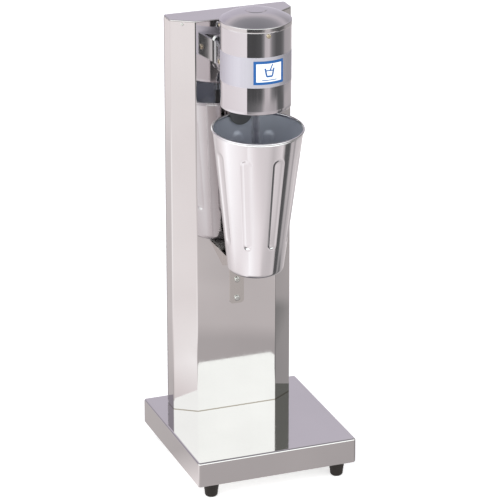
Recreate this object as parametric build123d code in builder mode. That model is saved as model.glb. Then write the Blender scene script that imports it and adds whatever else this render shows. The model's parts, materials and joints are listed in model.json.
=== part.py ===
from build123d import *
import os
from math import atan2, cos, degrees, hypot, pi, radians, sin, sqrt, tan

# Milkshake mixer: a folded stainless stand that carries a motor head, a spindle and a malt cup.
# Origin at the floor, under the centre of the base. -Y is the front, +Z is up. Millimetres.

os.makedirs("parts", exist_ok=True)

# Common stock and fits
sheet = 1.2  # stainless sheet of the stand
seat_gap = 0.05  # between round pieces that are seated on each other
running_gap = 0.05  # radial, shafts and pins in their bores
slip_gap = 0.3  # round loose or sliding pieces
screw_clearance = 0.1  # radial, screw shanks in their holes

# Base
base_width = 190.0
base_depth = 190.0
base_height = 30.0
base_corner = 3.0
base_fold = 2.2
base_lip = 27.0
bottom_plate_thickness = 1.5
foot_height = 17.0
foot_radius = 9.3
foot_tip_radius = 8.2
foot_round = 3.0
foot_inset_x = 19.0
foot_inset_y = 12.0
foot_screw_depth = 9.0
foot_screw_recess = 4.0

# Column
column_height = 471.0
column_width = 144.0
column_front_width = 95.4
column_front = 38.1
column_side_front = 54.5
column_back = 75.8
column_bend = 2.5
column_lip = 12.0
column_seam = 0.5
cap_skirt_height = 12.0
rear_lip = 14.0
cap_rivet_drop = 4.6
cap_rivet_share = 0.52

# Motor head
head_radius = 39.2
head_drop = 82.7  # from the top of the column to the underside of the head
barrel_height = 93.2
barrel_wall = 1.2
barrel_mouth_radius = 12.0
lid_proud = 0.5
lid_band_height = 5.0
lid_dome_rise = 10.5
lid_flat_radius = 11.7
lid_skirt_height = 8.0
lid_screw_drop = 3.6
lid_screw_count = 3
band_height = 34.5
band_rise = 31.2  # from the underside of the head to the lower edge of the band
badge_width = 35.4
badge_height = 26.5
badge_thickness = 0.3
badge_turn = 1.6  # degrees to the right of the front

# Neck between the head and the column
neck_rise = 31.0  # from the underside of the head to the underside of the neck
neck_height = 26.7
neck_length = 21.7  # from the back of the barrel to the column
neck_head_inset = 7.7  # of the sides of the neck inside the sides of the barrel
neck_half_column = 24.0
neck_bulge = 1.4
neck_wall = 3.0
neck_flange_half = 27.0
neck_flange_over = 6.0
neck_bolt_x = 19.0
neck_bolt_margin = 5.0
neck_screw_angle = 54.2  # degrees from the side of the barrel towards its back
neck_screw_rise = 12.2
neck_screw_radius = 1.8
neck_screw_head = 3.0
neck_screw_reach = 2.8  # past the outer face of the barrel
neck_spot_depth = 0.45  # of the flat seats under the screw heads
neck_cover_thickness = 2.0
neck_cover_recess = 1.5

# Motor
end_bell_floor = 3.5
motor_room = 7.0  # between the stator and the barrel
stator_ring = 6.0
pole_depth = 12.0
stator_height = 30.0
stator_rise = 32.0  # from the underside of the head to the stator
air_gap = 0.6
pole_half_angle = 55.0
coil_overhang = 6.0
armature_slots = 12
armature_slot_depth = 9.9
winding_inset = 1.9  # of the windings inside the armature core
armature_winding_height = 6.5
shaft_radius = 4.0
bearing_radius = 11.0
bearing_height = 7.0
upper_bearing_radius = 9.5
upper_bearing_height = 6.0
commutator_radius = 10.0
commutator_height = 12.0
commutator_bars = 24
brush_width = 5.0
brush_height = 6.0
brush_spring_room = 9.0
brush_holder_room = 5.95  # between the holders and the barrel
brush_wall = 1.4
stator_bolt_radius = 1.8
stator_post_radius = 4.0
fan_inset = 8.5  # of the fan inside the stator
fan_blades = 10
bell_screw_inset = 14.0  # of the screw circle inside the barrel

# Spindle and agitator
spindle_radius = 4.75
coupling_radius = 8.0
coupling_height = 8.8
seal_flange = 2.0
seal_thickness = 1.5
agitator_radius = 15.0
agitator_height = 24.0  # above the cup bottom
agitator_waves = 8
butterfly_rise = 38.0
butterfly_radius = 12.5
agitator_sheet = 1.6

# Cup
cup_height = 168.6
cup_rim_radius = 51.7
cup_foot_radius = 31.1
cup_wall = 0.8
cup_corner = 5.0
cup_bead = 1.3
cup_tilt = 2.5
cup_foot_shift = 0.1  # of the centre of the cup bottom behind the spindle
cup_rim_drop = 25.0  # from the underside of the head to the rim of the upright cup
flute_count = 8
flute_start = -79.6  # degrees, first flute seen from above
flute_low = 40.5
flute_high = 143.0
flute_radius = 26.0
flute_depth = 0.8

# Cup rest
rest_thickness = 1.5
rest_strap_width = 17.0
rest_strap_drop = 65.2  # from the cup bottom to the lower end of the strap
rest_corner = 4.0
rest_shelf_width = 34.0
rest_shelf_reach = 14.7  # from the centre of the cup bottom to the front of the shelf
rest_gusset_depth = 16.0
rest_screw_rise = 6.5  # from the lower end of the strap to the first screw
rest_screw_pitch = 22.8
rest_clearance = 0.15
rest_pad_thickness = 1.5
rest_pad_inset = 2.0
rest_pad_gap = 8.0  # between the pad and the column

# Cup switch under the neck
hook_x = -3.2
hook_radius = 13.0
hook_drop = 35.0  # from the underside of the head to the tip
hook_wall_gap = 5.5  # between the hook and the inside of the rim of the cup
lever_thickness = 1.6
lever_head_gap = 5.6  # between the back of the barrel and the lever
lever_stem_width = 14.0
lever_tail_width = 8.0
lever_bend = 2.5
lever_bend_high = 2.0  # above the underside of the head
lever_bend_low = 8.0  # below the underside of the head
pin_drop = 8.0  # below the neck
pin_radius = 1.5
knuckle_radius = 3.4
lever_ear_gap = 0.4
ear_thickness = 1.6
micro_length = 20.0
micro_depth = 10.0
micro_height = 6.4
micro_gap = 1.4  # between the lever and the microswitch
micro_screw_x = 8.0
micro_screw_depth = 7.5
micro_screw_radius = 1.15
plunger_radius = 1.4
plunger_length = 3.6
plunger_contact = 0.1
plunger_travel = 1.2
bracket_front_over = 1.0
bracket_depth = 12.5
bracket_ear_margin = 4.5  # of the ears round the pin
bracket_screw_x = 4.0
bracket_screw_depth = 9.2
bracket_screw_radius = 1.25
pin_head = 1.0
pin_end = 0.8
spring_room = 4.2
spring_wire = 0.4
spring_turns = 3
spring_gap = 0.3
spring_coil_gap = 0.5

# Rear panel fittings
rocker_x = -32.0
gland_x = 32.0
fittings_rise = 42.0  # above the base top
rocker_tilt = 10.0
bezel_width = 15.0
bezel_height = 22.0
bezel_thickness = 1.8
rocker_width = 10.4
rocker_half = 8.2
bezel_corner = 1.2
bezel_overlap = 1.2
switch_body_depth = 18.0
switch_cavity_margin = 1.4
switch_cavity_depth = 7.0
rocker_pin_radius = 1.2
rocker_pin_over = 1.2
rocker_lip = 4.3  # of the rocker's ends out of the panel
rocker_dip = 2.5  # of the rocker's hollow out of the panel
rocker_root = 3.6
rocker_root_half = 3.0
rocker_draft = 0.3
gland_radius = 10.0
gland_bore = 3.5
gland_thread_share = 0.72
gland_hex_height = 4.0
gland_cone_height = 6.0
gland_cone_share = 0.8
gland_cone_taper = 6.0
gland_thread_length = 10.0
terminal_rise = 30.0  # above the rear fittings
terminal_width = 34.0
terminal_depth = 16.0
terminal_height = 18.0
terminal_ways = 3
loom_radius = 2.4
loom_x = 13.2
loom_bend = 14.0
loom_hole_gap = 0.6
loom_rise = 16.5  # from the underside of the neck
loom_seat = 6.0  # of the loom in the terminal block
loom_straight = 60.0  # above the foot of the terminal block
loom_shift = 110.0  # above the foot of the terminal block
loom_head_gap = 1.5

# Places that follow from the sizes
base_top = foot_height + base_height
column_top = base_top + column_height
shell_back = column_back - sheet
shell_height = column_height - sheet - column_seam
head_bottom = column_top - head_drop
head_seam = head_bottom + barrel_height
head_y = column_front - neck_length - head_radius
barrel_bore = head_radius - barrel_wall
spindle_axis = Axis((0, head_y, 0), (0, 0, 1))
neck_bottom = head_bottom + neck_rise
neck_top = neck_bottom + neck_height
neck_half_head = head_radius - neck_head_inset
neck_screw_x = head_radius * cos(radians(neck_screw_angle))
neck_screw_y = head_y + head_radius * sin(radians(neck_screw_angle))
neck_screw_z = neck_bottom + neck_screw_rise
stator_radius = barrel_bore - motor_room
stator_bore = stator_radius - pole_depth
foot_x = base_width / 2 - foot_inset_x
foot_y = base_depth / 2 - foot_inset_y
cup_foot_y = head_y + cup_foot_shift
cup_bottom = head_bottom - cup_rim_drop - cup_height
cup_rim_y = cup_foot_y - cup_height * sin(radians(cup_tilt))
cup_inner_rim = (cup_rim_radius - cup_bead - cup_wall) * cos(radians(cup_tilt))
hook_y = cup_rim_y + cup_inner_rim - hook_wall_gap
hook_tip_z = head_bottom - hook_drop
lever_y = head_y + head_radius + lever_head_gap
rest_shelf_front = cup_foot_y + rest_shelf_reach
rest_strap_low = cup_bottom - rest_strap_drop


# Small fasteners, made once and placed in groups
def screw(head_radius, head_height, shank_radius, length):
    """A pan-head cross screw: the head stands on the XY plane, the shank runs down."""
    with BuildPart() as body:
        with BuildSketch():
            Circle(head_radius)
        extrude(amount=head_height)
        fillet(body.edges().group_by(Axis.Z)[-1], radius=head_height * 0.6)
        with BuildSketch():
            Circle(shank_radius)
        extrude(amount=-length)
        with BuildSketch(Plane.XY.offset(head_height)):
            Rectangle(head_radius * 1.1, head_radius * 0.26)
            Rectangle(head_radius * 0.26, head_radius * 1.1)
        extrude(amount=-head_height * 0.5, mode=Mode.SUBTRACT)
    return body.part


def hex_bolt(across_flats, head_height, shank_radius, length):
    """A hexagon bolt: the head stands on the XY plane, the shank runs down."""
    with BuildPart() as body:
        with BuildSketch():
            RegularPolygon(across_flats / 2, 6, major_radius=False)
        extrude(amount=head_height)
        with BuildSketch():
            Circle(shank_radius)
        extrude(amount=-length)
    return body.part


def hex_nut(across_flats, height, bore_radius):
    """A hexagon nut that stands on the XY plane."""
    with BuildPart() as body:
        with BuildSketch():
            RegularPolygon(across_flats / 2, 6, major_radius=False)
            Circle(bore_radius, mode=Mode.SUBTRACT)
        extrude(amount=height)
    return body.part


def sector(inner_radius, outer_radius, half_angle):
    """A ring sector about +X."""
    c, s = cos(radians(half_angle)), sin(radians(half_angle))
    outer_end, inner_end = (outer_radius * c, outer_radius * s), (inner_radius * c, inner_radius * s)
    outer_start, inner_start = (outer_radius * c, -outer_radius * s), (inner_radius * c, -inner_radius * s)
    with BuildSketch() as face:
        with BuildLine():
            ThreePointArc(outer_start, (outer_radius, 0), outer_end)
            Line(outer_end, inner_end)
            ThreePointArc(inner_end, (inner_radius, 0), inner_start)
            Line(inner_start, outer_start)
        make_face()
    return face.sketch


# Base

foot_bolt_radius = 2.5
nut_height = 4.0
nut_margin = 1.0
foot_hole_radius = foot_bolt_radius + screw_clearance
column_bolt_radius = 2.5
column_bolt_hole = column_bolt_radius + screw_clearance
column_bolt_front_y = column_front + sheet + column_lip / 2
column_bolt_places = [
    (-column_front_width * 0.32, column_bolt_front_y),
    (column_front_width * 0.32, column_bolt_front_y),
    (-(column_width / 2 - sheet - column_lip / 2), column_side_front + column_lip / 2),
    (column_width / 2 - sheet - column_lip / 2, column_side_front + column_lip / 2),
]

with BuildPart() as base_pan:
    with BuildSketch(Plane.XY.offset(foot_height)):
        RectangleRounded(base_width, base_depth, base_corner)
    extrude(amount=base_height)
    fillet(base_pan.edges().group_by(Axis.Z)[-1], radius=base_fold)
    fillet(base_pan.edges().group_by(Axis.Z)[0], radius=base_fold)
    with BuildSketch(Plane.XY.offset(foot_height + sheet)):
        RectangleRounded(base_width - 2 * sheet, base_depth - 2 * sheet, base_corner - sheet)
    extrude(amount=base_height - 2 * sheet, mode=Mode.SUBTRACT)
    with BuildSketch(Plane.XY.offset(foot_height)):
        RectangleRounded(base_width - 2 * base_lip, base_depth - 2 * base_lip, base_corner)
        with GridLocations(2 * foot_x, 2 * foot_y, 2, 2):
            Circle(foot_hole_radius)
    extrude(amount=sheet, mode=Mode.SUBTRACT)
    with BuildSketch(Plane.XY.offset(base_top)):
        with Locations(*column_bolt_places):
            Circle(column_bolt_hole)
    extrude(amount=-sheet, mode=Mode.SUBTRACT)
base_pan.part.label = "base_pan"
export_step(base_pan.part, "parts/base_pan.step")

bottom_plate_low = foot_height + sheet
with BuildPart() as base_bottom_plate:
    with BuildSketch(Plane.XY.offset(bottom_plate_low)):
        plate_inset = 2 * (sheet + slip_gap)
        RectangleRounded(base_width - plate_inset, base_depth - plate_inset, base_corner)
        with GridLocations(2 * foot_x, 2 * foot_y, 2, 2):
            Circle(foot_hole_radius, mode=Mode.SUBTRACT)
    extrude(amount=bottom_plate_thickness)
base_bottom_plate.part.label = "base_bottom_plate"
export_step(base_bottom_plate.part, "parts/base_bottom_plate.step")

foot_places = {
    "front_left": (-foot_x, -foot_y),
    "front_right": (foot_x, -foot_y),
    "rear_left": (-foot_x, foot_y),
    "rear_right": (foot_x, foot_y),
}
for corner, (x, y) in foot_places.items():
    with BuildPart() as rubber_foot:
        with BuildSketch(Plane((x, y, 0), x_dir=(1, 0, 0), z_dir=(0, -1, 0))) as foot_profile:
            with BuildLine():
                foot_corners = (foot_tip_radius, 0), (foot_radius, foot_height)
                Polyline((0, 0), *foot_corners, (0, foot_height), close=True)
            make_face()
            fillet(foot_profile.vertices().group_by(Axis.Y)[0].sort_by(Axis.X)[-1], radius=foot_round)
        revolve(axis=Axis((x, y, 0), (0, 0, 1)))
        with BuildSketch(Plane.XY):
            with Locations((x, y)):
                Circle(foot_screw_recess)
        extrude(amount=foot_screw_depth, mode=Mode.SUBTRACT)
        with BuildSketch(Plane.XY):
            with Locations((x, y)):
                Circle(foot_hole_radius)
        extrude(amount=foot_height, mode=Mode.SUBTRACT)
    rubber_foot.part.label = "rubber_foot_" + corner
    export_step(rubber_foot.part, "parts/rubber_foot_" + corner + ".step")

foot_nut_low = bottom_plate_low + bottom_plate_thickness
foot_screw_end = foot_nut_low + nut_height + nut_margin
foot_screw = screw(3.6, 2.4, foot_bolt_radius, foot_screw_end - foot_screw_depth)
with BuildPart() as foot_screws:
    for x, y in foot_places.values():
        with Locations(Plane((x, y, foot_screw_depth), x_dir=(1, 0, 0), z_dir=(0, 0, -1))):
            add(foot_screw)
foot_screws.part.label = "foot_screws"
export_step(foot_screws.part, "parts/foot_screws.step")

# Column


def column_plan(back, inset=0.0):
    """The column in plan, with bent corners, its back at the given Y, shrunk by the inset."""
    half, front_half = column_width / 2, column_front_width / 2
    with BuildSketch() as plan:
        with BuildLine():
            Polyline(
                (-half, back), (-half, column_side_front), (-front_half, column_front),
                (front_half, column_front), (half, column_side_front), (half, back), close=True,
            )
        make_face()
        fillet(plan.vertices(), radius=column_bend)
        if inset:
            offset(amount=-inset)
    return plan.sketch


rest_screw_low = rest_strap_low + rest_screw_rise
rest_screw_places = [(0, rest_screw_low), (0, rest_screw_low + rest_screw_pitch)]
sheet_screw_radius = 2.0
neck_bolt_radius = 2.5
neck_bolt_places = [
    (side * neck_bolt_x, z)
    for side in (-1, 1)
    for z in (neck_bottom + neck_bolt_margin, neck_top - neck_bolt_margin)
]
loom_z = neck_bottom + loom_rise
loom_hole = loom_radius + loom_hole_gap
rear_screw_places = [
    (side * (column_width / 2 - rear_lip / 2), base_top + share * column_height)
    for side in (-1, 1)
    for share in (0.06, 0.5, 0.94)
]

with BuildPart() as column_shell:
    with BuildSketch(Plane.XY.offset(base_top)):
        add(column_plan(shell_back))
    extrude(amount=shell_height)
    with BuildSketch(Plane.XY.offset(base_top + sheet)):
        add(column_plan(shell_back, sheet))
    extrude(amount=shell_height, mode=Mode.SUBTRACT)
    with BuildSketch(Plane.XY.offset(base_top)):
        half, front_half = column_width / 2 - sheet - column_lip, column_front_width / 2 - column_lip / 2
        with BuildLine():
            Polyline(
                (-half, shell_back - column_lip), (-front_half, column_front + sheet + column_lip),
                (front_half, column_front + sheet + column_lip), (half, shell_back - column_lip), close=True,
            )
        make_face()
        with Locations(*column_bolt_places):
            Circle(column_bolt_hole)
    extrude(amount=sheet, mode=Mode.SUBTRACT)
    with BuildSketch(Plane.XZ.offset(-shell_back)):
        with Locations((0, base_top + column_height / 2)):
            Rectangle(column_width - 2 * rear_lip, column_height - 2 * rear_lip)
        with Locations(*rear_screw_places):
            Circle(sheet_screw_radius + screw_clearance)
    extrude(amount=sheet, mode=Mode.SUBTRACT)
    with BuildSketch(Plane.XZ.offset(-column_front)):
        with Locations(*neck_bolt_places):
            Circle(neck_bolt_radius + screw_clearance)
        with Locations(*rest_screw_places):
            Circle(sheet_screw_radius + screw_clearance)
        with Locations((loom_x, loom_z)):
            Circle(loom_hole)
    extrude(amount=-sheet, mode=Mode.SUBTRACT)
    rivet_radius = 1.1
    chamfer_run = (column_width - column_front_width) / 2
    chamfer_depth = column_side_front - column_front
    chamfer_length = hypot(chamfer_run, chamfer_depth)
    rivet_planes = [
        Plane(
            (
                side * (column_front_width / 2 + cap_rivet_share * chamfer_run),
                column_front + cap_rivet_share * chamfer_depth,
                column_top - cap_rivet_drop,
            ),
            x_dir=(0, 0, 1),
            z_dir=(side * chamfer_depth / chamfer_length, -chamfer_run / chamfer_length, 0),
        )
        for side in (-1, 1)
    ]
    for plane in rivet_planes:
        with BuildSketch(plane):
            Circle(rivet_radius + seat_gap)
        extrude(amount=-2 * sheet, mode=Mode.SUBTRACT)
column_shell.part.label = "column_shell"
export_step(column_shell.part, "parts/column_shell.step")

with BuildPart() as column_top_cap:
    with BuildSketch(Plane.XY.offset(column_top - sheet)):
        add(column_plan(column_back))
    extrude(amount=sheet)
    fillet(column_top_cap.edges().group_by(Axis.Z)[-1], radius=sheet * 0.75)
    with BuildSketch(Plane.XY.offset(column_top - sheet)):
        add(column_plan(shell_back, sheet + slip_gap / 2))
        add(column_plan(shell_back, 2 * sheet + slip_gap / 2), mode=Mode.SUBTRACT)
    extrude(amount=-cap_skirt_height)
    for plane in rivet_planes:
        with BuildSketch(plane):
            Circle(rivet_radius + seat_gap)
        extrude(amount=-4 * sheet, mode=Mode.SUBTRACT)
column_top_cap.part.label = "column_top_cap"
export_step(column_top_cap.part, "parts/column_top_cap.step")

with BuildPart() as rivet:
    with BuildSketch():
        Circle(rivet_radius * 1.7)
    extrude(amount=0.8)
    fillet(rivet.edges().group_by(Axis.Z)[-1], radius=0.7)
    with BuildSketch():
        Circle(rivet_radius)
    extrude(amount=-2 * sheet - slip_gap)
with BuildPart() as cap_rivets:
    with Locations(*rivet_planes):
        add(rivet.part)
cap_rivets.part.label = "cap_rivets"
export_step(cap_rivets.part, "parts/cap_rivets.step")

rear_face = Plane.XZ.offset(-column_back)
rocker_cut_width = bezel_width - 2 * bezel_overlap
rocker_cut_height = bezel_height - 2 * bezel_overlap
gland_thread = gland_radius * gland_thread_share
fittings_z = base_top + fittings_rise
with BuildPart() as column_back_panel:
    with BuildSketch(rear_face):
        with Locations((0, base_top + (column_height - sheet) / 2)):
            RectangleRounded(column_width - 2 * slip_gap, column_height - sheet - 2 * slip_gap, 2.0)
        with Locations(*rear_screw_places):
            Circle(sheet_screw_radius + screw_clearance, mode=Mode.SUBTRACT)
        with Locations((rocker_x, fittings_z)):
            Rectangle(rocker_cut_width, rocker_cut_height, mode=Mode.SUBTRACT)
        with Locations((gland_x, fittings_z)):
            Circle(gland_thread + screw_clearance, mode=Mode.SUBTRACT)
    extrude(amount=sheet)
column_back_panel.part.label = "column_back_panel"
export_step(column_back_panel.part, "parts/column_back_panel.step")

column_bolt = hex_bolt(8.0, 3.5, column_bolt_radius, 2 * sheet + nut_height + nut_margin)
with BuildPart() as column_bolts:
    for x, y in column_bolt_places:
        with Locations(Plane((x, y, base_top - sheet), x_dir=(1, 0, 0), z_dir=(0, 0, -1))):
            add(column_bolt)
column_bolts.part.label = "column_bolts"
export_step(column_bolts.part, "parts/column_bolts.step")

base_nut = hex_nut(8.0, nut_height, column_bolt_radius + seat_gap)
column_nut_places = [(x, y, base_top + sheet) for x, y in column_bolt_places]
foot_nut_places = [(x, y, foot_nut_low) for x, y in foot_places.values()]
with BuildPart() as base_nuts:
    with Locations(*column_nut_places, *foot_nut_places):
        add(base_nut)
base_nuts.part.label = "base_nuts"
export_step(base_nuts.part, "parts/base_nuts.step")

# Neck


neck_front = head_y + head_radius / 2


def neck_half_at(y):
    """Half the width of the neck at a given Y."""
    share = (y - neck_front) / (column_front - neck_front)
    straight = neck_half_head + share * (neck_half_column - neck_half_head)
    return straight + 4 * neck_bulge * share * (1 - share)


def neck_plan():
    """The neck seen from above, run on into the head so that the barrel can be cut out of it."""
    front = neck_front
    middle_y = (front + column_front) / 2
    middle_half = neck_half_at(middle_y)
    left_back, right_back = (-neck_half_column, column_front), (neck_half_column, column_front)
    with BuildSketch() as plan:
        with BuildLine():
            ThreePointArc((-neck_half_head, front), (-middle_half, middle_y), left_back)
            Line(left_back, right_back)
            ThreePointArc(right_back, (middle_half, middle_y), (neck_half_head, front))
            Line((neck_half_head, front), (-neck_half_head, front))
        make_face()
    return plan.sketch


def neck_pocket_plan(gap=0.0):
    """The wiring pocket inside the neck."""
    with BuildSketch() as plan:
        add(neck_plan())
        offset(amount=-(neck_wall + gap), kind=Kind.INTERSECTION)
        with Locations((0, head_y)):
            Circle(head_radius + seat_gap + neck_wall + gap, mode=Mode.SUBTRACT)
    return plan.sketch


lever_slot_width = lever_tail_width + 2 * slip_gap + 1.0
lever_slot_depth = lever_thickness + 2.6
lever_slot_y = lever_y - slip_gap + lever_slot_depth / 2
bracket_screw_places = [(hook_x + side * bracket_screw_x, lever_y + bracket_screw_depth) for side in (-1, 1)]
micro_front = lever_y + lever_thickness + micro_gap
micro_screw_places = [(hook_x + side * micro_screw_x, micro_front + micro_screw_depth) for side in (-1, 1)]
neck_screw_seat = neck_half_at(neck_screw_y) - neck_spot_depth
neck_screw_planes = [
    Plane((side * neck_screw_seat, neck_screw_y, neck_screw_z), x_dir=(0, 1, 0), z_dir=(side, 0, 0))
    for side in (-1, 1)
]

with BuildPart() as neck_casting:
    with BuildSketch(Plane.XY.offset(neck_bottom)):
        add(neck_plan())
    extrude(amount=neck_height)
    fillet(neck_casting.edges().group_by(Axis.Z)[0].filter_by(GeomType.CIRCLE), radius=2.4)
    with BuildSketch(Plane.XZ.offset(-column_front)):
        flange_height = neck_height + 2 * neck_flange_over
        with Locations((0, neck_bottom + neck_height / 2)):
            RectangleRounded(2 * neck_flange_half, flange_height, neck_flange_over)
    extrude(amount=neck_wall)
    with BuildSketch(Plane.XY.offset(neck_bottom + neck_wall)):
        add(neck_pocket_plan())
    extrude(amount=neck_height - neck_wall, mode=Mode.SUBTRACT)
    with BuildSketch(Plane.XY.offset(neck_bottom)):
        with Locations((0, head_y)):
            Circle(head_radius + seat_gap)
    extrude(amount=neck_height, mode=Mode.SUBTRACT)
    with BuildSketch(Plane.XY.offset(neck_bottom)):
        with Locations((hook_x, lever_slot_y)):
            Rectangle(lever_slot_width, lever_slot_depth)
        with Locations(*bracket_screw_places):
            Circle(bracket_screw_radius + seat_gap)
        with Locations(*micro_screw_places):
            Circle(micro_screw_radius + seat_gap)
    extrude(amount=neck_wall, mode=Mode.SUBTRACT)
    with BuildSketch(Plane.XZ.offset(-column_front)):
        with Locations(*neck_bolt_places):
            Circle(neck_bolt_radius + seat_gap)
    extrude(amount=neck_wall, mode=Mode.SUBTRACT)
    with BuildSketch(Plane.XZ.offset(-column_front)):
        with Locations((loom_x, loom_z)):
            Circle(loom_hole)
    extrude(amount=column_front - head_y, mode=Mode.SUBTRACT)
    for plane in neck_screw_planes:
        with BuildSketch(plane):
            Circle(neck_screw_radius + seat_gap)
        extrude(amount=-neck_screw_seat, mode=Mode.SUBTRACT)
        with BuildSketch(plane):
            Circle(neck_screw_head + slip_gap)
        extrude(amount=neck_half_head - neck_screw_seat, mode=Mode.SUBTRACT)
neck_casting.part.label = "neck_casting"
export_step(neck_casting.part, "parts/neck_casting.step")

with BuildPart() as neck_cover:
    with BuildSketch(Plane.XY.offset(neck_top - neck_cover_recess)):
        add(neck_pocket_plan(gap=0.15))
    extrude(amount=-neck_cover_thickness)
neck_cover.part.label = "neck_cover"
export_step(neck_cover.part, "parts/neck_cover.step")

neck_screw_length = neck_screw_seat - neck_screw_x + neck_screw_reach
neck_side_screw = screw(neck_screw_head, 1.9, neck_screw_radius, neck_screw_length)
with BuildPart() as neck_side_screws:
    with Locations(*neck_screw_planes):
        add(neck_side_screw)
neck_side_screws.part.label = "neck_side_screws"
export_step(neck_side_screws.part, "parts/neck_side_screws.step")

with BuildPart() as neck_backing_plate:
    with BuildSketch(Plane.XZ.offset(-column_front - sheet)):
        with Locations((0, neck_bottom + neck_height / 2)):
            RectangleRounded(2 * neck_flange_half, flange_height, neck_flange_over)
        with Locations(*neck_bolt_places):
            Circle(neck_bolt_radius + screw_clearance, mode=Mode.SUBTRACT)
        with Locations((loom_x, loom_z)):
            Circle(loom_hole, mode=Mode.SUBTRACT)
    extrude(amount=-neck_wall)
neck_backing_plate.part.label = "neck_backing_plate"
export_step(neck_backing_plate.part, "parts/neck_backing_plate.step")

neck_bolt_head_y = column_front + sheet + neck_wall
neck_bolt = hex_bolt(8.0, 3.5, neck_bolt_radius, neck_wall + sheet + neck_wall - 0.3)
with BuildPart() as neck_bolts:
    for x, z in neck_bolt_places:
        with Locations(Plane((x, neck_bolt_head_y, z), x_dir=(1, 0, 0), z_dir=(0, 1, 0))):
            add(neck_bolt)
neck_bolts.part.label = "neck_bolts"
export_step(neck_bolts.part, "parts/neck_bolts.step")

# Head casing

head_plane = Plane((0, head_y, head_bottom))
head_profile_plane = Plane((0, head_y, head_bottom), x_dir=(1, 0, 0), z_dir=(0, -1, 0))
bell_screw_radius = 1.8
bell_screw_circle = barrel_bore - bell_screw_inset
bell_screw_count = 3
lid_screw_radius = 1.4
lid_screw_z = head_seam - lid_screw_drop
lid_screw_planes = [
    Plane(
        (head_radius * sin(radians(turn)), head_y - head_radius * cos(radians(turn)), lid_screw_z),
        x_dir=(0, 0, 1),
        z_dir=(sin(radians(turn)), -cos(radians(turn)), 0),
    )
    for turn in [360 / lid_screw_count * k for k in range(lid_screw_count)]
]

with BuildPart() as head_barrel:
    with BuildSketch(head_plane):
        Circle(head_radius)
    extrude(amount=barrel_height)
    fillet(head_barrel.edges().group_by(Axis.Z)[0], radius=barrel_wall * 0.9)
    with BuildSketch(head_plane.offset(barrel_wall)):
        Circle(barrel_bore)
    extrude(amount=barrel_height, mode=Mode.SUBTRACT)
    with BuildSketch(head_plane):
        Circle(barrel_mouth_radius)
        with PolarLocations(bell_screw_circle, bell_screw_count, 30):
            Circle(bell_screw_radius + screw_clearance)
    extrude(amount=barrel_wall, mode=Mode.SUBTRACT)
    for plane in lid_screw_planes:
        with BuildSketch(plane):
            Circle(lid_screw_radius + screw_clearance)
        extrude(amount=-head_radius / 2, mode=Mode.SUBTRACT)
    for side in (-1, 1):
        with BuildSketch(Plane.YZ):
            with Locations((neck_screw_y, neck_screw_z)):
                Circle(neck_screw_radius + seat_gap)
        extrude(amount=side * neck_half_head, mode=Mode.SUBTRACT)
    with BuildSketch(Plane.XZ):
        with Locations((loom_x, loom_z)):
            Circle(loom_hole)
    extrude(amount=-column_front, mode=Mode.SUBTRACT)
head_barrel.part.label = "head_barrel"
export_step(head_barrel.part, "parts/head_barrel.step")

lid_radius = head_radius + lid_proud
lid_low = barrel_height + seat_gap
lid_band_top = barrel_height + lid_band_height
lid_top = lid_band_top + lid_dome_rise
skirt_outer = barrel_bore - slip_gap / 2
skirt_inner = skirt_outer - barrel_wall
with BuildPart() as head_lid:
    with BuildSketch(head_profile_plane):
        with BuildLine():
            shoulder = (lid_radius - 1.5, lid_band_top + 0.6)
            crown = (lid_flat_radius, lid_top)
            Line((0, lid_top), crown)
            Spline(crown, shoulder, tangents=[(1, -0.12), (1, -0.62)])
            band_edge = (lid_radius, lid_band_top - 1.0)
            ThreePointArc(shoulder, (lid_radius - 0.35, lid_band_top - 0.15), band_edge)
            Polyline(
                band_edge,
                (lid_radius, lid_low),
                (skirt_outer, lid_low),
                (skirt_outer, barrel_height - lid_skirt_height),
                (skirt_inner, barrel_height - lid_skirt_height),
                (skirt_inner, lid_band_top - 2.4),
            )
            Spline(
                (skirt_inner, lid_band_top - 2.4), (lid_flat_radius, lid_top - barrel_wall),
                tangents=[(-1, 0.62), (-1, 0.12)],
            )
            Polyline((lid_flat_radius, lid_top - barrel_wall), (0, lid_top - barrel_wall), (0, lid_top))
        make_face()
    revolve(axis=spindle_axis)
    for plane in lid_screw_planes:
        with BuildSketch(plane):
            Circle(lid_screw_radius + seat_gap)
        extrude(amount=-head_radius / 2, mode=Mode.SUBTRACT)
head_lid.part.label = "head_lid"
export_step(head_lid.part, "parts/head_lid.step")

lid_screw = screw(2.6, 1.5, lid_screw_radius, 4.2)
with BuildPart() as lid_screws:
    with Locations(*lid_screw_planes):
        add(lid_screw)
lid_screws.part.label = "lid_screws"
export_step(lid_screws.part, "parts/lid_screws.step")

badge_inner = head_radius + seat_gap / 2
badge_half_angle = degrees(badge_width / 2 / head_radius)
badge_low = band_rise + (band_height - badge_height) / 2
with BuildPart() as front_badge:
    with BuildSketch(head_plane.offset(badge_low)):
        add(sector(badge_inner, badge_inner + badge_thickness, badge_half_angle), rotation=badge_turn - 90)
    extrude(amount=badge_height)
front_badge.part.label = "front_badge"
export_step(front_badge.part, "parts/front_badge.step")

lug_height = 10.0
lug_half_angle = 9.0
lug_inner = stator_radius + 2 * slip_gap
with BuildPart() as barrel_lugs:
    for turn in (neck_screw_angle, 180 - neck_screw_angle):
        with BuildSketch(head_plane.offset(neck_rise + neck_screw_rise - lug_height / 2)):
            add(sector(lug_inner, barrel_bore - seat_gap, lug_half_angle), rotation=turn)
        extrude(amount=lug_height)
    for plane in neck_screw_planes:
        with BuildSketch(plane):
            Circle(neck_screw_radius + seat_gap)
        extrude(amount=-neck_screw_seat, mode=Mode.SUBTRACT)
barrel_lugs.part.label = "barrel_lugs"
export_step(barrel_lugs.part, "parts/barrel_lugs.step")

# Motor, fixed pieces

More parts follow.
